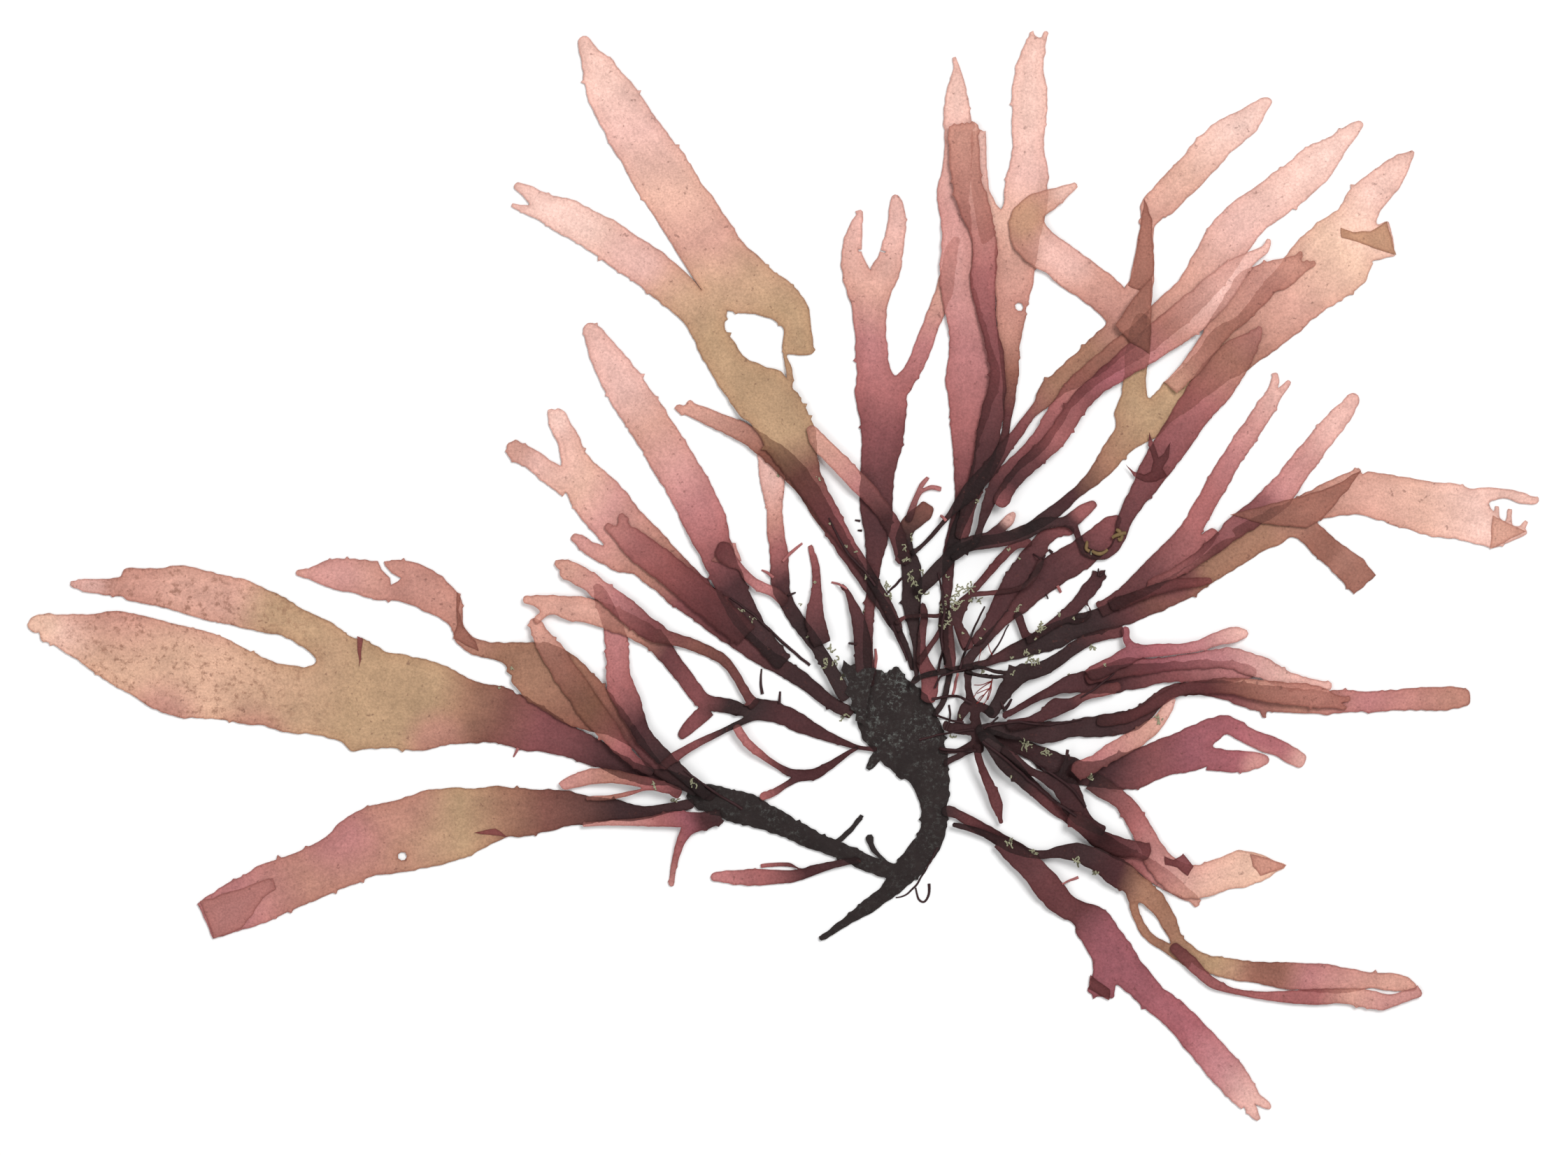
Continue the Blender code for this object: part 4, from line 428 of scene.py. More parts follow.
# Thin side stems and threads that lie on the pile: colour, then paths of (x, y, width)
STEMS = {
    "dark_side_stems": ("dark_maroon", [
        [(-1, 3.6, 0.6), (4, 5, 0.5), (8, 5.8, 0.5), (12, 6.2, 0.6)],
        [(2, 13.4, 0.7), (6, 14.2, 0.7), (9, 13.9, 0.7), (11.4, 12.4, 0.8)],
        [(2.6, 16, 0.5), (4, 19, 0.5), (7, 19.8, 0.5), (10, 20.6, 0.5)],
        [(6.2, 12, 0.5), (6.5, 9, 0.5), (5.4, 6, 0.6)],
        [(17.8, 9, 0.5), (15.6, 7.4, 0.5), (14.4, 6.4, 0.6)],
        [(21.1, 13.4, 0.5), (20.2, 11.8, 0.8), (19.2, 10.6, 1)],
        [(18.4, 12.8, 0.4), (18.9, 11.4, 0.7), (19.4, 10.4, 0.8)],
        [(4, 1.6, 0.8), (8, 1.3, 0.6), (12.4, 1.3, 0.7)],
        [(3, 9.6, 0.6), (6, 8.4, 0.5), (9.6, 7.8, 0.6)],
        [(-38.5, 20.6, 0.4), (-38.8, 17.6, 0.6), (-38.3, 14.6, 0.8)],
        [(-34, 15.2, 0.5), (-34.3, 12.4, 0.7)],
        [(-8.4, 38.6, 0.4), (-7, 40.2, 0.6), (-5, 42.2, 0.6)],
        [(1.5, -30.6, 0.7), (1.6, -33.2, 0.6), (0.2, -35.4, 0.5), (-1.2, -34.4, 0.5), (-1.8, -31.6, 0.4)],
        [(3.5, -22, 0.4), (0.5, -27.5, 0.4), (-2, -31.5, 0.5), (-4.5, -33.7, 0.4), (-6.5, -34, 0.3)],
        [(-30.5, 38.7, 0.4), (-32.2, 38.2, 0.6)],
        [(-17.6, 26.7, 0.6), (-15.8, 26.5, 0.6)],
        [(-16.2, 56, 0.4), (-15, 55.8, 0.6)],
        [(-15.6, 53.6, 0.4), (-14.6, 53.6, 0.6)],
        [(41.8, 44.4, 0.3), (41.7, 42.8, 0.6)],
        [(43.3, 44, 0.3), (43, 43.2, 0.5), (42, 42.8, 0.7)],
        [(30, 49, 0.5), (30.8, 48.2, 0.8)],
        [(29.8, 37.3, 0.3), (29.2, 38.4, 0.5)],
        [(-22.4, 56.6, 0.3), (-20.6, 52.6, 0.5), (-17.8, 47.8, 0.6), (-14, 44, 0.6), (-11.4, 40.4, 0.6)],
        [(-7.6, 31, 0.8), (-5.6, 27, 0.7), (-3.6, 22.6, 0.7)],
        [(20.4, 31.2, 0.3), (18, 26.4, 0.4), (15.4, 22.8, 0.5)],
        [(14.6, 35.4, 0.4), (12, 30, 0.5), (9.8, 24.6, 0.6), (8.6, 20.6, 0.7)],
        [(3.4, 43.6, 0.4), (4.6, 38.6, 0.6), (5, 34, 0.7), (4.2, 29.6, 0.6), (4.6, 24.6, 0.6),
         (3.4, 20, 0.7)],
        [(-57, -3.4, 0.5), (-50, -8.6, 0.6), (-43, -12.8, 0.7)],
        [(-46, 37.6, 0.4), (-40, 33.2, 0.6), (-33.6, 27, 0.7), (-27, 21.4, 0.7)],
        [(27.8, 46.8, 0.5), (26.2, 47.9, 0.4)],
        [(28.4, 46.8, 0.5), (29, 47.6, 0.4)],
        [(26, -1.4, 0.5), (31, -4.6, 0.6), (35.6, -8, 0.7), (38.6, -12.2, 0.6)],
        [(14, 3.4, 0.7), (19, -0.4, 0.7), (25, -5.6, 0.7), (31, -10.8, 0.6), (36.4, -14.4, 0.5)],
        [(15, 7, 0.6), (22, 8.2, 0.5), (30, 7.2, 0.5), (38, 8.6, 0.4)],
        [(37.4, 13.8, 0.4), (41, 16, 0.5), (45.4, 19.6, 0.4)],
    ]),
    "rose_side_stems": ("rose_mauve", [
        [(-28.8, 50.5, 0.5), (-30.2, 49.2, 0.7), (-32, 48, 0.8), (-33.4, 46.2, 0.7)],
        [(-38.5, 44.2, 0.4), (-37, 43.5, 0.7), (-35.6, 42.4, 0.8)],
        [(-21.9, 41.2, 0.5), (-19.8, 40.8, 0.6), (-18.2, 39.6, 0.6)],
        [(-11.3, 25.4, 0.5), (-11.2, 23, 0.8), (-11.6, 20.4, 0.8)],
        [(8.2, 19.6, 0.6), (7.8, 17.2, 0.7), (7.1, 14.4, 0.6)],
        [(32.7, 38.9, 0.7), (32, 40.4, 0.8)],
        [(-96.5, 1.8, 0.8), (-97.6, -0.4, 0.4)],
        [(37, -29, 0.7), (33, -30.6, 0.4)],
        [(4.3, 57, 0.7), (5.4, 55.8, 0.8)],
    ]),
    "red_epiphyte": ("epiphyte_red", [
        [(16.5, 18.4, 0.3), (16, 16.2, 0.3), (15, 14.8, 0.26), (13.6, 13.2, 0.22), (12.6, 12.4, 0.18)],
        [(16.3, 17.6, 0.26), (14.6, 16.6, 0.22), (13, 15.4, 0.2), (11.8, 13.8, 0.18)],
        [(16, 16.5, 0.24), (15.6, 14.6, 0.22), (15.2, 13, 0.2), (14.2, 12.2, 0.18)],
        [(15.9, 16, 0.24), (14.4, 15.4, 0.2), (12.8, 14.6, 0.18)],
        [(16.4, 17.8, 0.22), (14.2, 16.8, 0.2), (12.1, 16.7, 0.18)],
        [(16.2, 17, 0.26), (16.1, 15, 0.22), (15.4, 13.2, 0.2)],
        [(14.6, 14.4, 0.2), (13.4, 14, 0.18), (12.8, 13, 0.16)],
        [(16.5, 23.8, 0.24), (15.7, 25.2, 0.22), (15.4, 26.6, 0.18)],
        [(13.2, 22.4, 0.16), (13.4, 24, 0.16), (13.7, 25.4, 0.14)],
    ]),
    "worm_tubes": ("worm_tan", [
        [(39, 50.8, 0.7), (38.8, 49.6, 0.9), (38.6, 48.9, 0.8), (39.6, 48.6, 0.9)],
        [(40.2, 48.8, 0.7), (41, 48.2, 0.9), (42, 47.8, 1), (43, 48.1, 0.8), (43.8, 49, 0.7)],
        [(45.9, 53.8, 0.8), (46.7, 53.6, 1), (47, 52.9, 0.9), (46.5, 52.2, 0.8), (45.6, 52.2, 0.6)],
        [(45, 51.8, 0.8), (46, 52.5, 1), (47.2, 52.8, 1.1), (48.2, 53, 0.8)],
        [(47.4, 52.4, 0.8), (47.2, 51.4, 0.9), (46.7, 50.9, 0.8), (46.5, 51.8, 0.6)],
    ]),
}

# Clusters of encrusting animals: (x, y, reach, grains)
CRUSTS = [
    (9.6, 38.8, 2.6, 46), (13.2, 37, 1.2, 14), (6.6, 37.4, 1.8, 22), (7.6, 35, 1.2, 14),
    (4.6, 34, 1.6, 20), (5.6, 32, 1.4, 18), (-3.5, 43, 1.6, 20), (-0.6, 43.4, 0.9, 9),
    (-9, 40, 1.5, 22), (6, 42.4, 0.8, 8), (0, 39.2, 1.6, 20), (-1.6, 37.4, 1.2, 12),
    (22.8, 35.2, 0.9, 9), (25.4, 22.6, 1.7, 30), (27.2, 22.8, 1.1, 14), (21.4, 23.4, 0.7, 6),
    (28, 30, 1.4, 24), (32.6, 33.7, 0.7, 9), (35.8, 32.8, 0.5, 4), (40.7, 25.7, 0.6, 8),
    (-4.5, 49.4, 1, 12), (-3, 52, 1.2, 8), (-13.5, 42.4, 0.8, 9), (-18.2, 49.6, 0.7, 5),
    (-16.4, 48.4, 0.7, 5), (-22.4, 55.2, 0.6, 4), (-24.8, 66, 0.8, 8), (-34.6, 67, 0.6, 5),
    (24, 3, 1.2, 22), (28.8, 1, 1, 14), (40, -5, 0.9, 10), (56, 9, 1, 10), (-55, -6.5, 1.6, 20),
    (-59, -11, 1.4, 14), (-64, -7, 1.2, 12), (21, -20.5, 0.9, 8), (26, -23, 0.9, 8), (36, -25, 1, 10),
    (41, -28, 0.8, 8), (40, 48.5, 0.8, 6), (-101, 16, 1, 8), (-98, 21, 0.8, 6), (-43.4, 34.4, 0.9, 10),
    (-40.6, 32.4, 1, 8), (-27.8, 28, 0.8, 6), (-22.4, 25.6, 0.7, 5), (-21, 22.6, 1.4, 20),
    (-25.8, 41, 0.5, 4), (-29, 36, 0.6, 5), (-14.2, 34, 0.4, 3), (14.6, 30, 0.4, 3), (9.2, 29, 0.5, 5),
    (13.4, 28, 0.4, 3), (20.2, 48.8, 0.6, 7), (23, 46.8, 0.5, 4), (14, 20.4, 0.9, 8),
    (21.2, 19.2, 1.2, 7), (34.6, 19.2, 0.6, 5), (43.2, 21.8, 0.6, 4), (12.6, 60.8, 0.9, 8),
    (10.8, 39.8, 1.6, 30), (8.2, 36.2, 1.8, 30), (11.6, 36.6, 1, 14), (5.4, 36.2, 1.4, 24),
    (6.4, 33.2, 1.2, 18), (4.8, 30.4, 1.2, 18), (-8, 38, 1.2, 18), (-3.8, 46.6, 1.2, 18),
    (-2.4, 41, 1.4, 22), (27.6, 30.6, 1.4, 24), (25, 24, 1.4, 24), (22.6, 34.4, 0.9, 10),
    (40.4, 25.9, 0.9, 12), (-23, 21.6, 1.6, 26), (-22, 25.4, 1.2, 16), (-19.6, 18.4, 1.4, 18),
    (-16.8, 13.8, 1.6, 26), (-18.8, 9, 1.4, 18), (24.4, 2.4, 1.6, 30), (29.4, 0.4, 1.2, 18),
    (39.8, -5.4, 1.1, 16), (56, 8.6, 1.3, 20), (20.4, -20.9, 1.3, 18), (26.4, -23.6, 1.1, 14),
    (36.6, -25.4, 1.4, 20), (41, -28.4, 1, 12), (8.6, 9.6, 0.6, 4), (7, 4.4, 1.2, 10),
    (20.8, -5.2, 0.4, 3), (26.6, 27.6, 0.5, 4), (27.6, 25, 0.6, 4),
]


def linear(code):
    """sRGB hex to linear red, green and blue."""
    values = [int(code[i:i + 2], 16) / 255 for i in (0, 2, 4)]
    return np.array([v / 12.92 if v <= 0.04045 else ((v + 0.055) / 1.055) ** 2.4 for v in values])


def rgba(code):
    """sRGB hex to the linear colour of a socket."""
    return (*linear(code), 1)


def add_node(tree, kind, links=(), **settings):
    """Adds a shader node. links are (input, output socket or value)."""
    node = tree.nodes.new(kind)
    for name, value in settings.items():
        setattr(node, name, value)
    for target, source in links:
        if isinstance(source, bpy.types.NodeSocket):
            tree.links.new(source, node.inputs[target])
        else:
            node.inputs[target].default_value = source
    return node


def noise_at(x, y, scale, seed):
    """Smooth noise from -1 to 1 with features of that scale in millimetres, another for each seed."""
    return noise.noise(Vector((x / scale, y / scale, seed)))


def blade_top(node):
    """The upper faces of a solid: their mesh tree in metres and their outlines in millimetres."""
    mesh = bmesh.new()
    mesh.from_mesh(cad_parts[node].data)
    bmesh.ops.remove_doubles(mesh, verts=mesh.verts, dist=MERGE * MM)
    mesh.normal_update()
    lower = [face for face in mesh.faces if face.normal.z < UPWARD]
    bmesh.ops.delete(mesh, geom=lower, context="FACES")
    tree = BVHTree.FromBMesh(mesh)
    following = {}
    for edge in mesh.edges:
        if edge.is_boundary:
            loop = edge.link_loops[0]
            following.setdefault(loop.vert, []).append(loop.link_loop_next.vert)
    outlines = []
    while following:
        start = next(iter(following))
        outline = []
        vert = start
        while vert in following:
            outline.append((vert.co.x / MM, vert.co.y / MM))
            after = following[vert].pop()
            if not following[vert]:
                del following[vert]
            vert = after
        outlines.append(np.array(outline))
    outlines.sort(key=lambda outline: -abs(area(outline)))
    mesh.free()
    return tree, outlines


def area(outline):
    """Signed area of a closed outline, positive when counterclockwise."""
    x, y = outline[:, 0], outline[:, 1]
    return 0.5 * float(np.sum(x * np.roll(y, -1) - np.roll(x, -1) * y))


def is_corner(before, here, after):
    """True at a cut or folded end, where two long edges meet at a sharp turn."""
    first, second = here - before, after - here
    turn = abs(math.atan2(first[0] * second[1] - first[1] * second[0], float(first @ second)))
    return turn > CORNER_TURN and min(np.linalg.norm(first), np.linalg.norm(second)) > CORNER_EDGE


def smooth_outline(outline):
    """A closed curve through the outline's points, with its corners kept."""
    count = len(outline)
    corner = [is_corner(outline[i - 1], outline[i], outline[(i + 1) % count]) for i in range(count)]
    points = []
    for i in range(count):
        after = (i + 1) % count
        start, end = outline[i], outline[after]
        step = end - start
        into = step if corner[i] else (end - outline[i - 1]) / 2
        out = step if corner[after] else (outline[(after + 1) % count] - start) / 2
        length = np.linalg.norm(step)
        into = into * min(1.0, length / max(np.linalg.norm(into), SHORTEST))
        out = out * min(1.0, length / max(np.linalg.norm(out), SHORTEST))
        parts = max(1, round(length / MARGIN_SPACING))
        for part in range(parts):
            t = part / parts
            points.append(
                (2 * t**3 - 3 * t**2 + 1) * start + (t**3 - 2 * t**2 + t) * into
                + (3 * t**2 - 2 * t**3) * end + (t**3 - t**2) * out
            )
    return np.array(points)


def margin_normals(outline):
    """Outward unit normals of a closed outline that has the blade on its left."""
    along = np.roll(outline, -1, axis=0) - np.roll(outline, 1, axis=0)
    along /= np.maximum(np.linalg.norm(along, axis=1, keepdims=True), SHORTEST)
    return np.stack([along[:, 1], -along[:, 0]], axis=1)


def width_near(outline, index, tree):
    """Distance across the blade from one point of its margin, up to the widest that counts."""
    here = outline[index]
    count = len(outline)
    best = WIDEST
    for _, other, distance in tree.find_range((here[0], here[1], 0), WIDEST):
        apart = abs(other - index)
        if min(apart, count - apart) * MARGIN_SPACING > WAY_ROUND * distance + LEAST_ROUND:
            best = min(best, distance)
    return best


def worn_outline(outline, seed):
    """The outline with the uneven, slightly ruffled margin of a dried blade."""
    tree = point_tree(outline)
    normals = margin_normals(outline)
    moved = outline.copy()
    for i, (x, y) in enumerate(outline):
        reach = min(1.0, width_near(outline, i, tree) / FULL_WEAR_WIDTH)
        wave = WAVE_DEPTH * noise_at(x, y, WAVE_LENGTH, seed)
        shift = wave + RUFFLE_DEPTH * noise_at(x, y, RUFFLE_LENGTH, seed + RUFFLE_SHIFT)
        tooth = noise_at(x, y, TOOTH_LENGTH, seed + TOOTH_SHIFT)
        if tooth > TOOTH_LEVEL:
            shift += TOOTH_HEIGHT * (tooth - TOOTH_LEVEL)
        moved[i] += normals[i] * shift * reach
    for x, y, length in TEETH:
        for _, i, distance in tree.find_range((x, y, 0), 1):
            moved[i] += normals[i] * length * (1 - distance)
    return moved


def inside(points, outlines):
    """Which points lie in the blade, by the even-odd rule."""
    result = np.zeros(len(points), bool)
    for outline in outlines:
        x0, y0 = outline[:, 0], outline[:, 1]
        x1, y1 = np.roll(x0, -1), np.roll(y0, -1)
        for first in range(0, len(points), POINTS_AT_ONCE):
            last = first + POINTS_AT_ONCE
            px = points[first:last, 0:1]
            py = points[first:last, 1:2]
            spans = (y0 > py) != (y1 > py)
            rise = np.where(np.abs(y1 - y0) < TINY, TINY, y1 - y0)
            crossing = x0 + (py - y0) * (x1 - x0) / rise
            result[first:last] ^= (np.sum(spans & (px < crossing), axis=1) % 2).astype(bool)
    return result


def filling_points(outlines, margin_tree, random):
    """Points inside a blade: a ring close to its margin and a loose grid over the rest."""
    outer = outlines[0]
    low, high = outer.min(axis=0), outer.max(axis=0)
    rows = np.arange(low[1], high[1], INNER_SPACING * ROW_RATIO)
    columns = np.arange(low[0], high[0], INNER_SPACING)
    grid = []
    for k, y in enumerate(rows):
        shift = INNER_SPACING / 2 if k % 2 else 0
        grid.append(np.stack([columns + shift, np.full(len(columns), y)], axis=1))
    grid = np.concatenate(grid) + random.uniform(-JITTER, JITTER, (len(rows) * len(columns), 2))
    grid = grid[inside(grid, outlines)]
    kept = [p for p in grid if margin_tree.find((p[0], p[1], 0))[2] > MARGIN_GAP]
    for outline in outlines:
        ring = outline - margin_normals(outline) * INNER_RING
        ring = ring[inside(ring, outlines)]
        kept += [p for p in ring if margin_tree.find((p[0], p[1], 0))[2] > RING_KEPT * INNER_RING]
    return kept


def point_tree(points):
    """A search tree over points in plan."""
    tree = KDTree(len(points))
    for i, point in enumerate(points):
        tree.insert((point[0], point[1], 0), i)
    tree.balance()
    return tree


def blade_mesh(outlines, below, margin_tree, random):
    """Triangles of a blade in plan, split along the outlines of the blades under it."""
    points, faces = [], []
    for outline in outlines + [other for _, other in below]:
        start = len(points)
        points += [Vector(p) for p in (outline if area(outline) > 0 else outline[::-1])]
        faces.append(list(range(start, start + len(outline))))
    points += [Vector(p) for p in filling_points(outlines, margin_tree, random)]
    verts, _, triangles, _, _, sources = delaunay_2d_cdt(points, [], faces, 1, PLAN_MERGE)
    holes = set(range(1, len(outlines)))
    kept, under = [], []
    for triangle, source in zip(triangles, sources):
        if 0 in source and not holes & set(source):
            kept.append(triangle)
            under.append(sorted({below[s - len(outlines)][0] for s in source if s >= len(outlines)}))
    used = sorted({v for triangle in kept for v in triangle})
    number = {old: new for new, old in enumerate(used)}
    plan = np.array([verts[v][:] for v in used])
    return plan, [[number[v] for v in triangle] for triangle in kept], under


def distances_from(plan, triangles, root):
    """Length along the blade from its root to each point."""
    neighbours = [set() for _ in plan]
    for a, b, c in triangles:
        neighbours[a] |= {b, c}
        neighbours[b] |= {a, c}
        neighbours[c] |= {a, b}
    result = np.full(len(plan), np.inf)
    start = int(np.argmin(np.sum((plan - root) ** 2, axis=1)))
    result[start] = 0
    queue = [(0.0, start)]
    while queue:
        length, here = heapq.heappop(queue)
        if length > result[here]:
            continue
        for other in neighbours[here]:
            further = length + math.dist(plan[here], plan[other])
            if further < result[other]:
                result[other] = further
                heapq.heappush(queue, (further, other))
    far = np.isinf(result)
    result[far] = np.linalg.norm(plan[far] - root, axis=1)
    return result


def tints_along(distances, stops):
    """Linear colours of a single layer at those distances from the root."""
    places = [place for place, _ in stops]
    colours = np.array([linear(PALETTE[name]) * GLOSS for _, name in stops])
    return np.stack([np.interp(distances, places, colours[:, k]) for k in range(3)], axis=1)


def patched(tints, plan, patches):
    """The tints with some places drawn towards another colour."""
    for place, reach, colour in patches:
        away = np.linalg.norm(plan - place, axis=1)
        near = np.clip(PATCH_EDGE - PATCH_EDGE * away / reach, 0, 1)[:, None]
        near = PATCH_STRENGTH * near * near * (3 - 2 * near)
        tints = tints * (1 - near) + linear(PALETTE[colour]) * GLOSS * near
    return tints


def colours_with_painted_see_through_shade(plan, triangles, under, tints, blades):
    """Colour at each corner of the triangles, with painted see-through shade: a thin blade is painted
    darker and tinted where other blades lie under it.
    """
    seen = {}
    result = np.empty((len(triangles) * 3, 4))
    for k, (triangle, names) in enumerate(zip(triangles, under)):
        for corner, v in enumerate(triangle):
            shade = np.ones(3)
            # Painted see-through shade from each blade under this corner, darkening the blade's own tint
            for name in names:
                if (v, name) not in seen:
                    lower = blades[name]
                    seen[v, name] = lower["tints"][lower["tree"].find((plan[v][0], plan[v][1], 0))[1]]
                shade = shade * seen[v, name] ** LAYER_POWER
            shade = shade * (1 - LAYER_GREY) + shade.mean() * LAYER_GREY
            colour = tints[v] * (1 - PAINTED_SEE_THROUGH + PAINTED_SEE_THROUGH * shade) + DARKEST
            result[3 * k + corner] = (*colour, 1)
    return result


def heights(plan, tree, margins, seed):
    """Height in millimetres of each point: the middle of the solid, a little uneven."""
    result = []
    for (x, y), margin in zip(plan, margins):
        place = tree.ray_cast(Vector((x * MM, y * MM, RAY_START)), DOWN)[0]
        if place is None:
            place = tree.find_nearest(Vector((x * MM, y * MM, PILE_MIDDLE)))[0]
        cockle = COCKLE_HEIGHT * noise_at(x, y, COCKLE_LENGTH, seed + COCKLE_SHIFT)
        curl = CURL_HEIGHT * noise_at(x, y, CURL_LENGTH, seed + CURL_SHIFT) * math.exp(-margin / CURL_WIDTH)
        result.append(place.z / MM - SOLID_HALF + cockle + curl)
    return np.array(result)


def add_piece(name, data):
    """An object with that mesh or curve, selected alone."""
    piece = bpy.data.objects.new(name, data)
    bpy.context.scene.collection.objects.link(piece)
    bpy.ops.object.select_all(action="DESELECT")
    piece.select_set(True)
    bpy.context.view_layer.objects.active = piece
    return piece


def make_piece(name, plan, z, triangles):
    """An open piece over those triangles."""
    mesh = bpy.data.meshes.new(name)
    mesh.from_pydata([(x * MM, y * MM, h * MM) for (x, y), h in zip(plan, z)], [], triangles)
    return add_piece(name, mesh)


def close_piece(piece, thickness):
    """Gives the piece, which is still selected, its thickness and soft shading."""
    solidify = piece.modifiers.new("thickness", "SOLIDIFY")
    solidify.thickness = thickness * MM
    solidify.offset = 0
    bpy.ops.object.modifier_apply(modifier=solidify.name)
    bpy.ops.object.shade_smooth_by_angle(angle=SMOOTH_ANGLE)


def finish_blade(piece, plan, triangles, under, tints, blades, distances, margins, seed):
    """Stores what the blade material reads: the colour with its painted see-through shade, and the place
    along and across the blade.
    """
    tint_and_painted_see_through_shade = piece.data.attributes.new("tint_and_painted_see_through_shade", "FLOAT_COLOR", "CORNER")
    tint_and_painted_see_through_shade.data.foreach_set("color", colours_with_painted_see_through_shade(plan, triangles, under, tints, blades).ravel())
    place = piece.data.attributes.new("place", "FLOAT_VECTOR", "POINT")
    places = np.stack([distances, margins, np.full(len(plan), seed)], axis=1)
    place.data.foreach_set("vector", places.ravel())


def blade_record(outline, tints, plan):
    """What the blades above need to know of a blade."""
    low, high = outline.min(axis=0), outline.max(axis=0)
    return {"low": low, "high": high, "outline": outline, "tints": tints, "tree": point_tree(plan)}


def blades_under(blades, outline):
    """The names and outlines of the blades whose extent meets the outline's."""
    low, high = outline.min(axis=0), outline.max(axis=0)
    return [(name, blade["outline"]) for name, blade in blades.items()
            if np.all(blade["low"] < high) and np.all(blade["high"] > low)]


def build_frond(node, root, stops, blades, seed):
    """A dried blade in the place of a solid."""
    random = np.random.default_rng(seed)
    tree, rough = blade_top(node)
    outlines = [worn_outline(smooth_outline(outline), seed) for outline in rough]
    outlines += [straight_outline(corners)[::-1] for corners in TEARS.get(node, [])]
    margin_tree = point_tree(np.concatenate(outlines))
    below = blades_under(blades, outlines[0])
    plan, triangles, under = blade_mesh(outlines, below, margin_tree, random)
    margins = np.array([margin_tree.find((x, y, 0))[2] for x, y in plan])
    distances = distances_from(plan, triangles, np.array(root))
    tints = patched(tints_along(distances, stops), plan, PATCHES.get(node, []))
    z = heights(plan, tree, margins, seed)
    piece = make_piece(node + "_blade", plan, z, triangles)
    finish_blade(piece, plan, triangles, under, tints, blades, distances, margins, seed)
    close_piece(piece, FILM_THICKNESS)
    blades[node] = blade_record(outlines[0], tints, plan)
    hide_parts(node)
    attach(piece, "root")
    return piece


def pile_tree():
    """A mesh tree of all the solids together."""
    mesh = bmesh.new()
    for node in [STIPE, *FRONDS]:
        mesh.from_mesh(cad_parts[node].data)
    tree = BVHTree.FromBMesh(mesh)
    mesh.free()
    return tree


def pile_top(pile, x, y):
    """Height in millimetres of what lies at that place, or of the floor."""
    place = pile.ray_cast(Vector((x * MM, y * MM, RAY_START)), DOWN)[0]
    return place.z / MM if place else 0.0


def straight_outline(corners):
    """Points along the straight sides between the corners, counterclockwise."""
    corners = np.array(corners)
    if area(corners) < 0:
        corners = corners[::-1]
    points = []
    for start, end in zip(corners, np.roll(corners, -1, axis=0)):
        parts = max(1, round(math.dist(start, end) / MARGIN_SPACING))
        points += [start + (end - start) * part / parts for part in range(parts)]
    return np.array(points)


def build_fold(name, node, colour, corners, blades, seed):
    """A part of a frond that is folded over or doubled, as one more thin layer on it."""
    tree, _ = blade_top(node)
    outline = straight_outline(corners)
    outline += [(FOLD_WANDER * noise_at(x, y, FOLD_WANDER_LENGTH, seed),
                 FOLD_WANDER * noise_at(x, y, FOLD_WANDER_LENGTH, seed + FOLD_SHIFT)) for x, y in outline]
    margin_tree = point_tree(outline)
    names = list(blades)
    lower = {key: blades[key] for key in names[:names.index(node) + 1]}
    below = blades_under(lower, outline)
    plan, triangles, under = blade_mesh([outline], below, margin_tree, np.random.default_rng(seed))
    margins = np.array([margin_tree.find((x, y, 0))[2] for x, y in plan])
    tints = tints_along(margins, [(0, colour)])
    z = heights(plan, tree, margins, seed) + SOLID_HALF + FOLD_LIFT
    piece = make_piece(name, plan, z, triangles)
    finish_blade(piece, plan, triangles, under, tints, blades, margins * FOLD_STREAKS, margins, seed)
    close_piece(piece, FOLD_THICKNESS)
    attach(piece, "root")
    return piece


def stem_steps(path):
    """Points (x, y, width) close together along a path."""
    steps = []
    for (x0, y0, w0), (x1, y1, w1) in zip(path, path[1:]):
        parts = max(2, round(math.dist((x0, y0), (x1, y1)) / STEM_STEP))
        steps += [(x0 + (x1 - x0) * k / parts, y0 + (y1 - y0) * k / parts, w0 + (w1 - w0) * k / parts)
                  for k in range(parts)]
    return steps + [path[-1]]


def build_stems(name, colour, paths, pile):
    """Thin round stems that follow the top of the pile."""
    curve = bpy.data.curves.new(name, "CURVE")
    curve.dimensions = "3D"
    curve.bevel_depth = STEM_RADIUS * MM
    curve.bevel_resolution = STEM_ROUNDNESS
    curve.use_fill_caps = True
    for path in paths:
        steps = stem_steps(path)
        place = np.array([(x, y) for x, y, _ in steps])
        for _ in range(STEM_SMOOTHING):
            place[1:-1] = (place[:-2] + 2 * place[1:-1] + place[2:]) / 4
        wander = [(noise_at(x, y, STEM_WANDER_LENGTH, STEM_SEED),
                   noise_at(x, y, STEM_WANDER_LENGTH, STEM_SEED + STEM_SHIFT)) for x, y in place]
        place = place + STEM_WANDER * np.array(wander)
        tops = np.array([pile_top(pile, x, y) for x, y in place])
        high = np.array([tops[max(0, k - 1):k + 2].max() for k in range(len(tops))])
        for _ in range(STEM_EASING):
            high[1:-1] = np.maximum(high[1:-1], (high[:-2] + high[2:]) / 2)
        spline = curve.splines.new("POLY")
        spline.points.add(len(place) - 1)
        for point, (x, y), h, (_, _, width) in zip(spline.points, place, high, steps):
            point.co = (x * MM, y * MM, (h + width / 2) * MM, 1)
            point.radius = width
    add_piece(name, curve)
    bpy.ops.object.convert(target="MESH")
    bpy.ops.object.shade_smooth()
    piece = bpy.context.object
    piece.data.materials.append(stem_material(name, colour))
    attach(piece, "root")


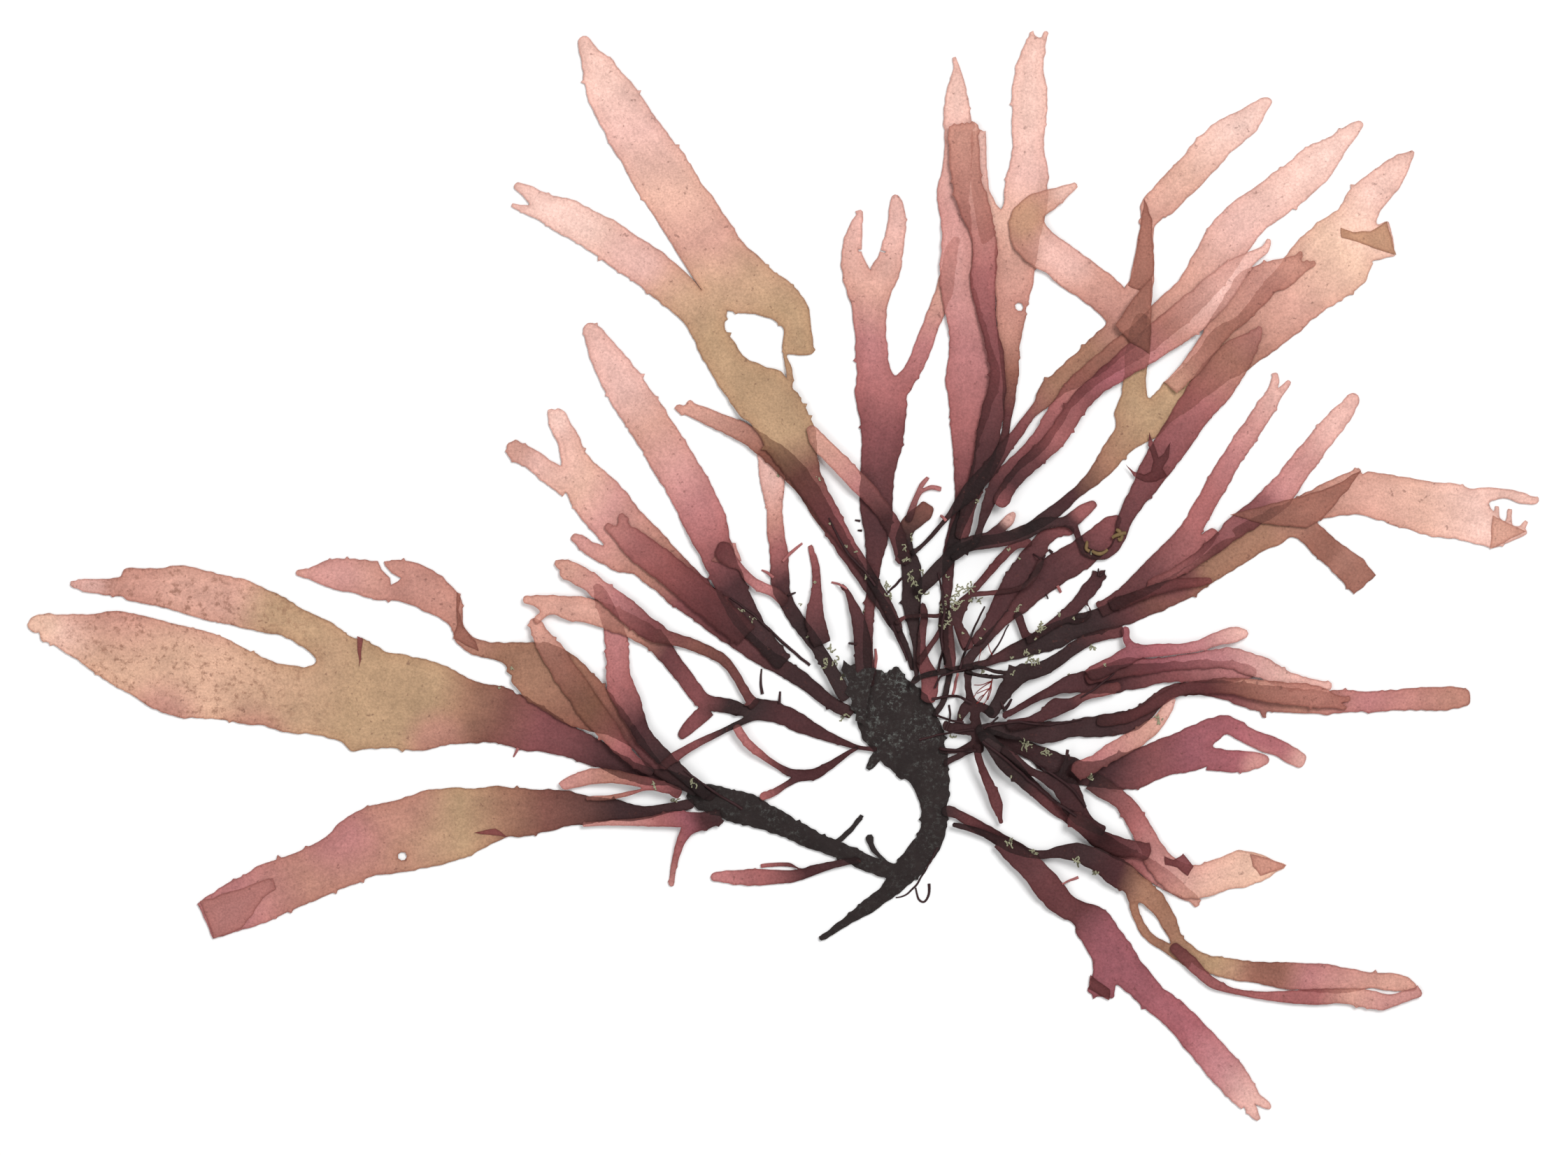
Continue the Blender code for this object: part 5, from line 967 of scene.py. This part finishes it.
def build_crusts(pile):
    """Clusters of small pale encrusting animals on the inner fronds."""
    random = np.random.default_rng(CRUST_SEED)
    mesh = bmesh.new()
    for x, y, reach, grains in CRUSTS:
        heading = random.uniform(0, 2 * math.pi)
        px, py = x, y
        for k in range(grains):
            if k % CHAIN == 0:
                px, py = x + random.normal(0, reach / 4), y + random.normal(0, reach / 4)
                heading = random.uniform(0, 2 * math.pi)
            heading += random.normal(0, CHAIN_TURN)
            px += CHAIN_STEP * math.cos(heading)
            py += CHAIN_STEP * math.sin(heading)
            if math.dist((px, py), (x, y)) > reach:
                px, py = x, y
            size = random.uniform(GRAIN_SMALLEST, GRAIN_LARGEST)
            place = Vector((px, py, pile_top(pile, px, py) + size / 2)) * MM
            scale = Vector(GRAIN_SHAPE) * size * MM
            matrix = Matrix.LocRotScale(place, Euler((0, 0, heading)), scale)
            bmesh.ops.create_icosphere(mesh, subdivisions=1, radius=1, matrix=matrix)
    data = bpy.data.meshes.new("encrusting_animals")
    mesh.to_mesh(data)
    mesh.free()
    piece = add_piece("encrusting_animals", data)
    piece.data.materials.append(crust_material())
    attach(piece, "root")


def new_material(name):
    """A material with its node tree, its shader and the object's own coordinates."""
    material = bpy.data.materials.new(name)
    material.use_nodes = True
    tree = material.node_tree
    where = add_node(tree, "ShaderNodeTexCoord").outputs["Object"]
    return material, tree, tree.nodes["Principled BSDF"], where


def stem_material(name, colour):
    """Dried thin stem tissue of one colour, a little uneven."""
    material, tree, shader, where = new_material("dried " + name.replace("_", " "))
    base = linear(PALETTE[colour]) * GLOSS
    # Clouds of about 1.4 mm: 700 to the metre
    clouds = add_node(tree, "ShaderNodeTexNoise", [("Vector", where), ("Scale", 700.0), ("Detail", 3.0)])
    mix = add_node(tree, "ShaderNodeMix", [
        ("Factor", clouds.outputs["Fac"]), (MIX_A, (*(STEM_DARK * base), 1)),
        (MIX_B, (*np.minimum(STEM_LIGHT * base, 1), 1))], data_type="RGBA")
    tree.links.new(mix.outputs[MIX_OUT], shader.inputs["Base Color"])
    shader.inputs["Roughness"].default_value = 0.55
    shader.inputs["Specular IOR Level"].default_value = 0.12
    return material


def crust_material():
    """Chalky crust of encrusting animals: matt, pale and greenish grey."""
    material, tree, shader, where = new_material("chalky crust")
    # Grains of about 0.7 mm: 1500 to the metre
    clouds = add_node(tree, "ShaderNodeTexNoise", [("Vector", where), ("Scale", 1500.0), ("Detail", 3.0)])
    mix = add_node(tree, "ShaderNodeMix", [
        ("Factor", clouds.outputs["Fac"]), (MIX_A, rgba("55543C")), (MIX_B, rgba("B5B294"))],
        data_type="RGBA")
    tree.links.new(mix.outputs[MIX_OUT], shader.inputs["Base Color"])
    shader.inputs["Roughness"].default_value = 0.8
    return material


def blade_shade(tree, where, place):
    """How light the blade is from place to place: streaks along it, grains and clouds."""
    # Streaks along the blade: 8 mm long and 1 mm across
    along = add_node(tree, "ShaderNodeVectorMath", [
        (0, place.outputs["Vector"]), (1, (0.12, 0.9, 7.3))], operation="MULTIPLY")
    streaks = add_node(tree, "ShaderNodeTexNoise", [
        ("Vector", along.outputs[0]), ("Scale", 1.0), ("Detail", 3.0), ("Roughness", 0.6)])
    streak_shade = add_node(tree, "ShaderNodeMapRange", [
        ("Value", streaks.outputs["Fac"]), ("From Min", 0.3), ("From Max", 0.7),
        ("To Min", 0.93), ("To Max", 1.05)])
    # Grains of 0.5 mm: 2000 to the metre
    grains = add_node(tree, "ShaderNodeTexNoise", [
        ("Vector", where), ("Scale", 2000.0), ("Detail", 2.0), ("Roughness", 0.6)])
    grain_shade = add_node(tree, "ShaderNodeMapRange", [
        ("Value", grains.outputs["Fac"]), ("From Min", 0.3), ("From Max", 0.7),
        ("To Min", 0.82), ("To Max", 1.14)])
    # Clouds of about 9 mm: 110 to the metre
    clouds = add_node(tree, "ShaderNodeTexNoise", [
        ("Vector", where), ("Scale", 110.0), ("Detail", 4.0), ("Roughness", 0.6)])
    cloud_shade = add_node(tree, "ShaderNodeMapRange", [
        ("Value", clouds.outputs["Fac"]), ("From Min", 0.32), ("From Max", 0.68),
        ("To Min", 0.86), ("To Max", 1.1)])
    fine = add_node(tree, "ShaderNodeMath", [
        (0, streak_shade.outputs[0]), (1, grain_shade.outputs[0])], operation="MULTIPLY")
    return add_node(tree, "ShaderNodeMath", [
        (0, fine.outputs[0]), (1, cloud_shade.outputs[0])], operation="MULTIPLY").outputs[0]


def blade_spots(tree, where, colour):
    """The blade's colour with its dark flecks and its brown mottling."""
    # Dark flecks of about 1 mm: 900 to the metre
    flecks = add_node(tree, "ShaderNodeTexNoise", [("Vector", where), ("Scale", 900.0), ("Detail", 2.0)])
    fleck_amount = add_node(tree, "ShaderNodeMapRange", [
        ("Value", flecks.outputs["Fac"]), ("From Min", 0.66), ("From Max", 0.74),
        ("To Min", 0.0), ("To Max", 0.45)])
    flecked = add_node(tree, "ShaderNodeMix", [
        ("Factor", fleck_amount.outputs[0]), (MIX_A, colour), (MIX_B, (0.10, 0.035, 0.03, 1))],
        data_type="RGBA")
    # Brown mottling of about 1.6 mm, 620 to the metre, on the broad left blade only
    away = add_node(tree, "ShaderNodeVectorMath", [
        (0, where), (1, (-0.178, 0.022, 0.0))], operation="DISTANCE")
    near = add_node(tree, "ShaderNodeMapRange", [
        ("Value", away.outputs["Value"]), ("From Min", 0.016), ("From Max", 0.046),
        ("To Min", 0.62), ("To Max", 0.0)])
    mottles = add_node(tree, "ShaderNodeTexNoise", [
        ("Vector", where), ("Scale", 620.0), ("Detail", 4.0), ("Roughness", 0.66)])
    mottled = add_node(tree, "ShaderNodeMapRange", [
        ("Value", mottles.outputs["Fac"]), ("From Min", 0.53), ("From Max", 0.66),
        ("To Min", 0.0), ("To Max", 1.0)])
    mottle_amount = add_node(tree, "ShaderNodeMath", [
        (0, near.outputs[0]), (1, mottled.outputs[0])], operation="MULTIPLY")
    return add_node(tree, "ShaderNodeMix", [
        ("Factor", mottle_amount.outputs[0]), (MIX_A, flecked.outputs[MIX_OUT]), (MIX_B, rgba("7E5342"))],
        data_type="RGBA").outputs[MIX_OUT]


def blade_margin(tree, across, colour):
    """The blade's colour, browner over its last three millimetres and darker over the last half."""
    brown_amount = add_node(tree, "ShaderNodeMapRange", [
        ("Value", across), ("From Min", 0.2), ("From Max", 3.0), ("To Min", 0.6), ("To Max", 0.0)])
    browned = add_node(tree, "ShaderNodeMix", [
        ("Factor", brown_amount.outputs[0]), (MIX_A, colour), (MIX_B, (0.92, 0.84, 0.82, 1))],
        data_type="RGBA", blend_type="MULTIPLY")
    edge_amount = add_node(tree, "ShaderNodeMapRange", [
        ("Value", across), ("From Min", 0.05), ("From Max", 0.55), ("To Min", 0.6), ("To Max", 0.0)])
    return add_node(tree, "ShaderNodeMix", [
        ("Factor", edge_amount.outputs[0]), (MIX_A, browned.outputs[MIX_OUT]),
        (MIX_B, (0.5, 0.36, 0.34, 1))], data_type="RGBA", blend_type="MULTIPLY").outputs[MIX_OUT]


def blade_material():
    """Dried dulse blade: a thin satin film, coloured by its place on the plant, with painted see-through
    shade where it lies over other blades, and with a darker margin.
    """
    material, tree, shader, where = new_material("dried dulse blade")
    # The blade's colour, with the painted see-through shade of the blades under it
    tint_and_painted_see_through_shade = add_node(tree, "ShaderNodeAttribute", attribute_name="tint_and_painted_see_through_shade")
    place = add_node(tree, "ShaderNodeAttribute", attribute_name="place")
    parts = add_node(tree, "ShaderNodeSeparateXYZ", [(0, place.outputs["Vector"])])
    coloured = add_node(tree, "ShaderNodeVectorMath", [
        (0, tint_and_painted_see_through_shade.outputs["Color"]), ("Scale", blade_shade(tree, where, place))], operation="SCALE")
    spotted = blade_spots(tree, where, coloured.outputs[0])
    edged = blade_margin(tree, parts.outputs["Y"], spotted)
    tree.links.new(edged, shader.inputs["Base Color"])
    # Cockles of about 2.4 mm, 420 to the metre, and a papery relief of 0.8 mm, 1300 to the metre
    cockle = add_node(tree, "ShaderNodeTexNoise", [
        ("Vector", where), ("Scale", 420.0), ("Detail", 5.0), ("Roughness", 0.62)])
    paper = add_node(tree, "ShaderNodeTexNoise", [
        ("Vector", where), ("Scale", 1300.0), ("Detail", 3.0), ("Roughness", 0.55)])
    relief = add_node(tree, "ShaderNodeMath", [
        (0, paper.outputs["Fac"]), (1, 0.4), (2, cockle.outputs["Fac"])], operation="MULTIPLY_ADD")
    bump = add_node(tree, "ShaderNodeBump", [
        ("Height", relief.outputs[0]), ("Strength", 0.7), ("Distance", 0.0004)])
    tree.links.new(bump.outputs[0], shader.inputs["Normal"])
    shader.inputs["Roughness"].default_value = 0.52
    shader.inputs["IOR"].default_value = 1.4
    shader.inputs["Specular IOR Level"].default_value = 0.12
    return material


def frost_on_stipe(tree, where):
    """How much grey frost there is: most on the old blade, in drifts of specks."""
    away = add_node(tree, "ShaderNodeVectorMath", [
        (0, where), (1, (-0.006, 0.012, 0.0))], operation="DISTANCE")
    near = add_node(tree, "ShaderNodeMapRange", [
        ("Value", away.outputs["Value"]), ("From Min", 0.006), ("From Max", 0.02),
        ("To Min", 0.85), ("To Max", 0.3)])
    # Drifts of about 6 mm, 170 to the metre
    drifts = add_node(tree, "ShaderNodeTexNoise", [
        ("Vector", where), ("Scale", 170.0), ("Detail", 3.0), ("Roughness", 0.6)])
    drifted = add_node(tree, "ShaderNodeMapRange", [
        ("Value", drifts.outputs["Fac"]), ("From Min", 0.42), ("From Max", 0.62),
        ("To Min", 0.12), ("To Max", 1.0)])
    # Specks of about 1 mm, 950 to the metre
    specks = add_node(tree, "ShaderNodeTexNoise", [
        ("Vector", where), ("Scale", 950.0), ("Detail", 7.0), ("Roughness", 0.85)])
    specked = add_node(tree, "ShaderNodeMapRange", [
        ("Value", specks.outputs["Fac"]), ("From Min", 0.52), ("From Max", 0.66),
        ("To Min", 0.0), ("To Max", 1.0)])
    frosted = add_node(tree, "ShaderNodeMath", [
        (0, near.outputs[0]), (1, specked.outputs[0])], operation="MULTIPLY")
    return add_node(tree, "ShaderNodeMath", [
        (0, frosted.outputs[0]), (1, drifted.outputs[0])], operation="MULTIPLY").outputs[0]


def stipe_material():
    """Dried dulse stipe: near-black, wrinkled, leathery tissue with a grey frost."""
    material, tree, shader, where = new_material("dried dulse stipe")
    # Clouds of about 4 mm: 260 to the metre
    clouds = add_node(tree, "ShaderNodeTexNoise", [
        ("Vector", where), ("Scale", 260.0), ("Detail", 5.0), ("Roughness", 0.65)])
    leather = add_node(tree, "ShaderNodeMix", [
        ("Factor", clouds.outputs["Fac"]), (MIX_A, rgba("1E1818")), (MIX_B, rgba("352C2B"))],
        data_type="RGBA")
    frosted = add_node(tree, "ShaderNodeMix", [
        ("Factor", frost_on_stipe(tree, where)), (MIX_A, leather.outputs[MIX_OUT]),
        (MIX_B, rgba("858B86"))], data_type="RGBA")
    tree.links.new(frosted.outputs[MIX_OUT], shader.inputs["Base Color"])
    # Wrinkles of about 2.6 mm: 380 to the metre
    relief = add_node(tree, "ShaderNodeTexNoise", [
        ("Vector", where), ("Scale", 380.0), ("Detail", 6.0), ("Roughness", 0.65)])
    bump = add_node(tree, "ShaderNodeBump", [
        ("Height", relief.outputs["Fac"]), ("Strength", 0.9), ("Distance", 0.0006)])
    tree.links.new(bump.outputs[0], shader.inputs["Normal"])
    shader.inputs["Roughness"].default_value = 0.6
    shader.inputs["Specular IOR Level"].default_value = 0.1
    return material


def floor_material():
    """Matt white paper-like floor."""
    material = bpy.data.materials.new("matt white floor")
    material.use_nodes = True
    shader = material.node_tree.nodes["Principled BSDF"]
    shader.inputs["Base Color"].default_value = (0.96, 0.96, 0.96, 1)
    shader.inputs["Roughness"].default_value = 0.9
    return material


def build_stipe(blades):
    """The thick wrinkled stipe and old blade, in the place of their solid."""
    tree, rough = blade_top(STIPE)
    outlines = [worn_outline(worn_outline(smooth_outline(outline), STIPE_SEED), OLD_BLADE_SEED)
                for outline in rough]
    margin_tree = point_tree(np.concatenate(outlines))
    plan, triangles, _ = blade_mesh(outlines, [], margin_tree, np.random.default_rng(STIPE_SEED))
    margins = np.array([margin_tree.find((x, y, 0))[2] for x, y in plan])
    wrinkles = [STIPE_WRINKLE * noise_at(x, y, WRINKLE_LENGTH, WRINKLE_SEED) for x, y in plan]
    z = heights(plan, tree, margins, STIPE_SEED) - STIPE_SINK
    z += STIPE_SWELL * np.minimum(margins, SWELL_WIDTH) / SWELL_WIDTH
    z += np.array(wrinkles) * np.minimum(margins, 1)
    piece = make_piece(STIPE + "_leathery", plan, z, triangles)
    close_piece(piece, STIPE_THICKNESS)
    # The stipe's dark colour is kept only to paint the see-through shade of the blades that lie over it
    blades[STIPE] = blade_record(outlines[0], np.tile(linear("2E2526"), (len(plan), 1)), plan)
    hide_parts(STIPE)
    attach(piece, "root")
    return piece


def add_light(name, place, target, size, power):
    """A large square soft light."""
    data = bpy.data.lights.new(name, "AREA")
    data.shape = "SQUARE"
    data.size = size
    data.energy = power
    light = bpy.data.objects.new(name, data)
    bpy.context.scene.collection.objects.link(light)
    light.location = place
    light.rotation_euler = (Vector(target) - Vector(place)).to_track_quat("-Z", "Y").to_euler()


def stage_scene():
    """Floor, lights, world and the camera straight above."""
    bpy.ops.mesh.primitive_plane_add(size=FLOOR_SIZE, location=CENTRE)
    floor = bpy.context.object
    floor.name = "floor"
    floor.data.materials.append(floor_material())
    add_light("key", place=(0.42, 0.5, 1.5), target=CENTRE, size=0.55, power=15.8)
    add_light("fill", place=(-0.5, -0.2, 1.6), target=CENTRE, size=0.8, power=6.6)
    world = bpy.data.worlds.new("studio")
    bpy.context.scene.world = world
    world.use_nodes = True
    background = world.node_tree.nodes["Background"]
    background.inputs["Color"].default_value = (1, 1, 1, 1)
    background.inputs["Strength"].default_value = DAYLIGHT
    data = bpy.data.cameras.new("camera")
    data.sensor_width = SENSOR_WIDTH
    data.lens = SENSOR_WIDTH * CAMERA_HEIGHT / FRAME_WIDTH
    camera = bpy.data.objects.new("camera", data)
    bpy.context.scene.collection.objects.link(camera)
    camera.location = CAMERA_PLACE
    bpy.context.scene.camera = camera
    bpy.context.scene.view_settings.view_transform = "Standard"


def main():
    """The plant from the bottom of its pile to the top, then the stage."""
    bpy.ops.object.select_all(action="DESELECT")
    blades = {}
    film = blade_material()
    leather = stipe_material()
    build_stipe(blades).data.materials.append(leather)
    for k, (node, (slot, root, stops)) in enumerate(FRONDS.items()):
        build_frond(node, root, stops, blades, k + FROND_SEED).data.materials.append(film)
    for k, (name, (node, colour, corners)) in enumerate(FOLDS.items()):
        build_fold(name, node, colour, corners, blades, k + FOLD_SEED).data.materials.append(film)
    side = build_fold(
        "old_blade_side", "centre_thin_frond", "near_black", OLD_BLADE_SIDE, blades, SIDE_SEED)
    side.data.materials.append(leather)
    pile = pile_tree()
    for name, (colour, paths) in STEMS.items():
        build_stems(name, colour, paths, pile)
    build_crusts(pile)
    stage_scene()


main()
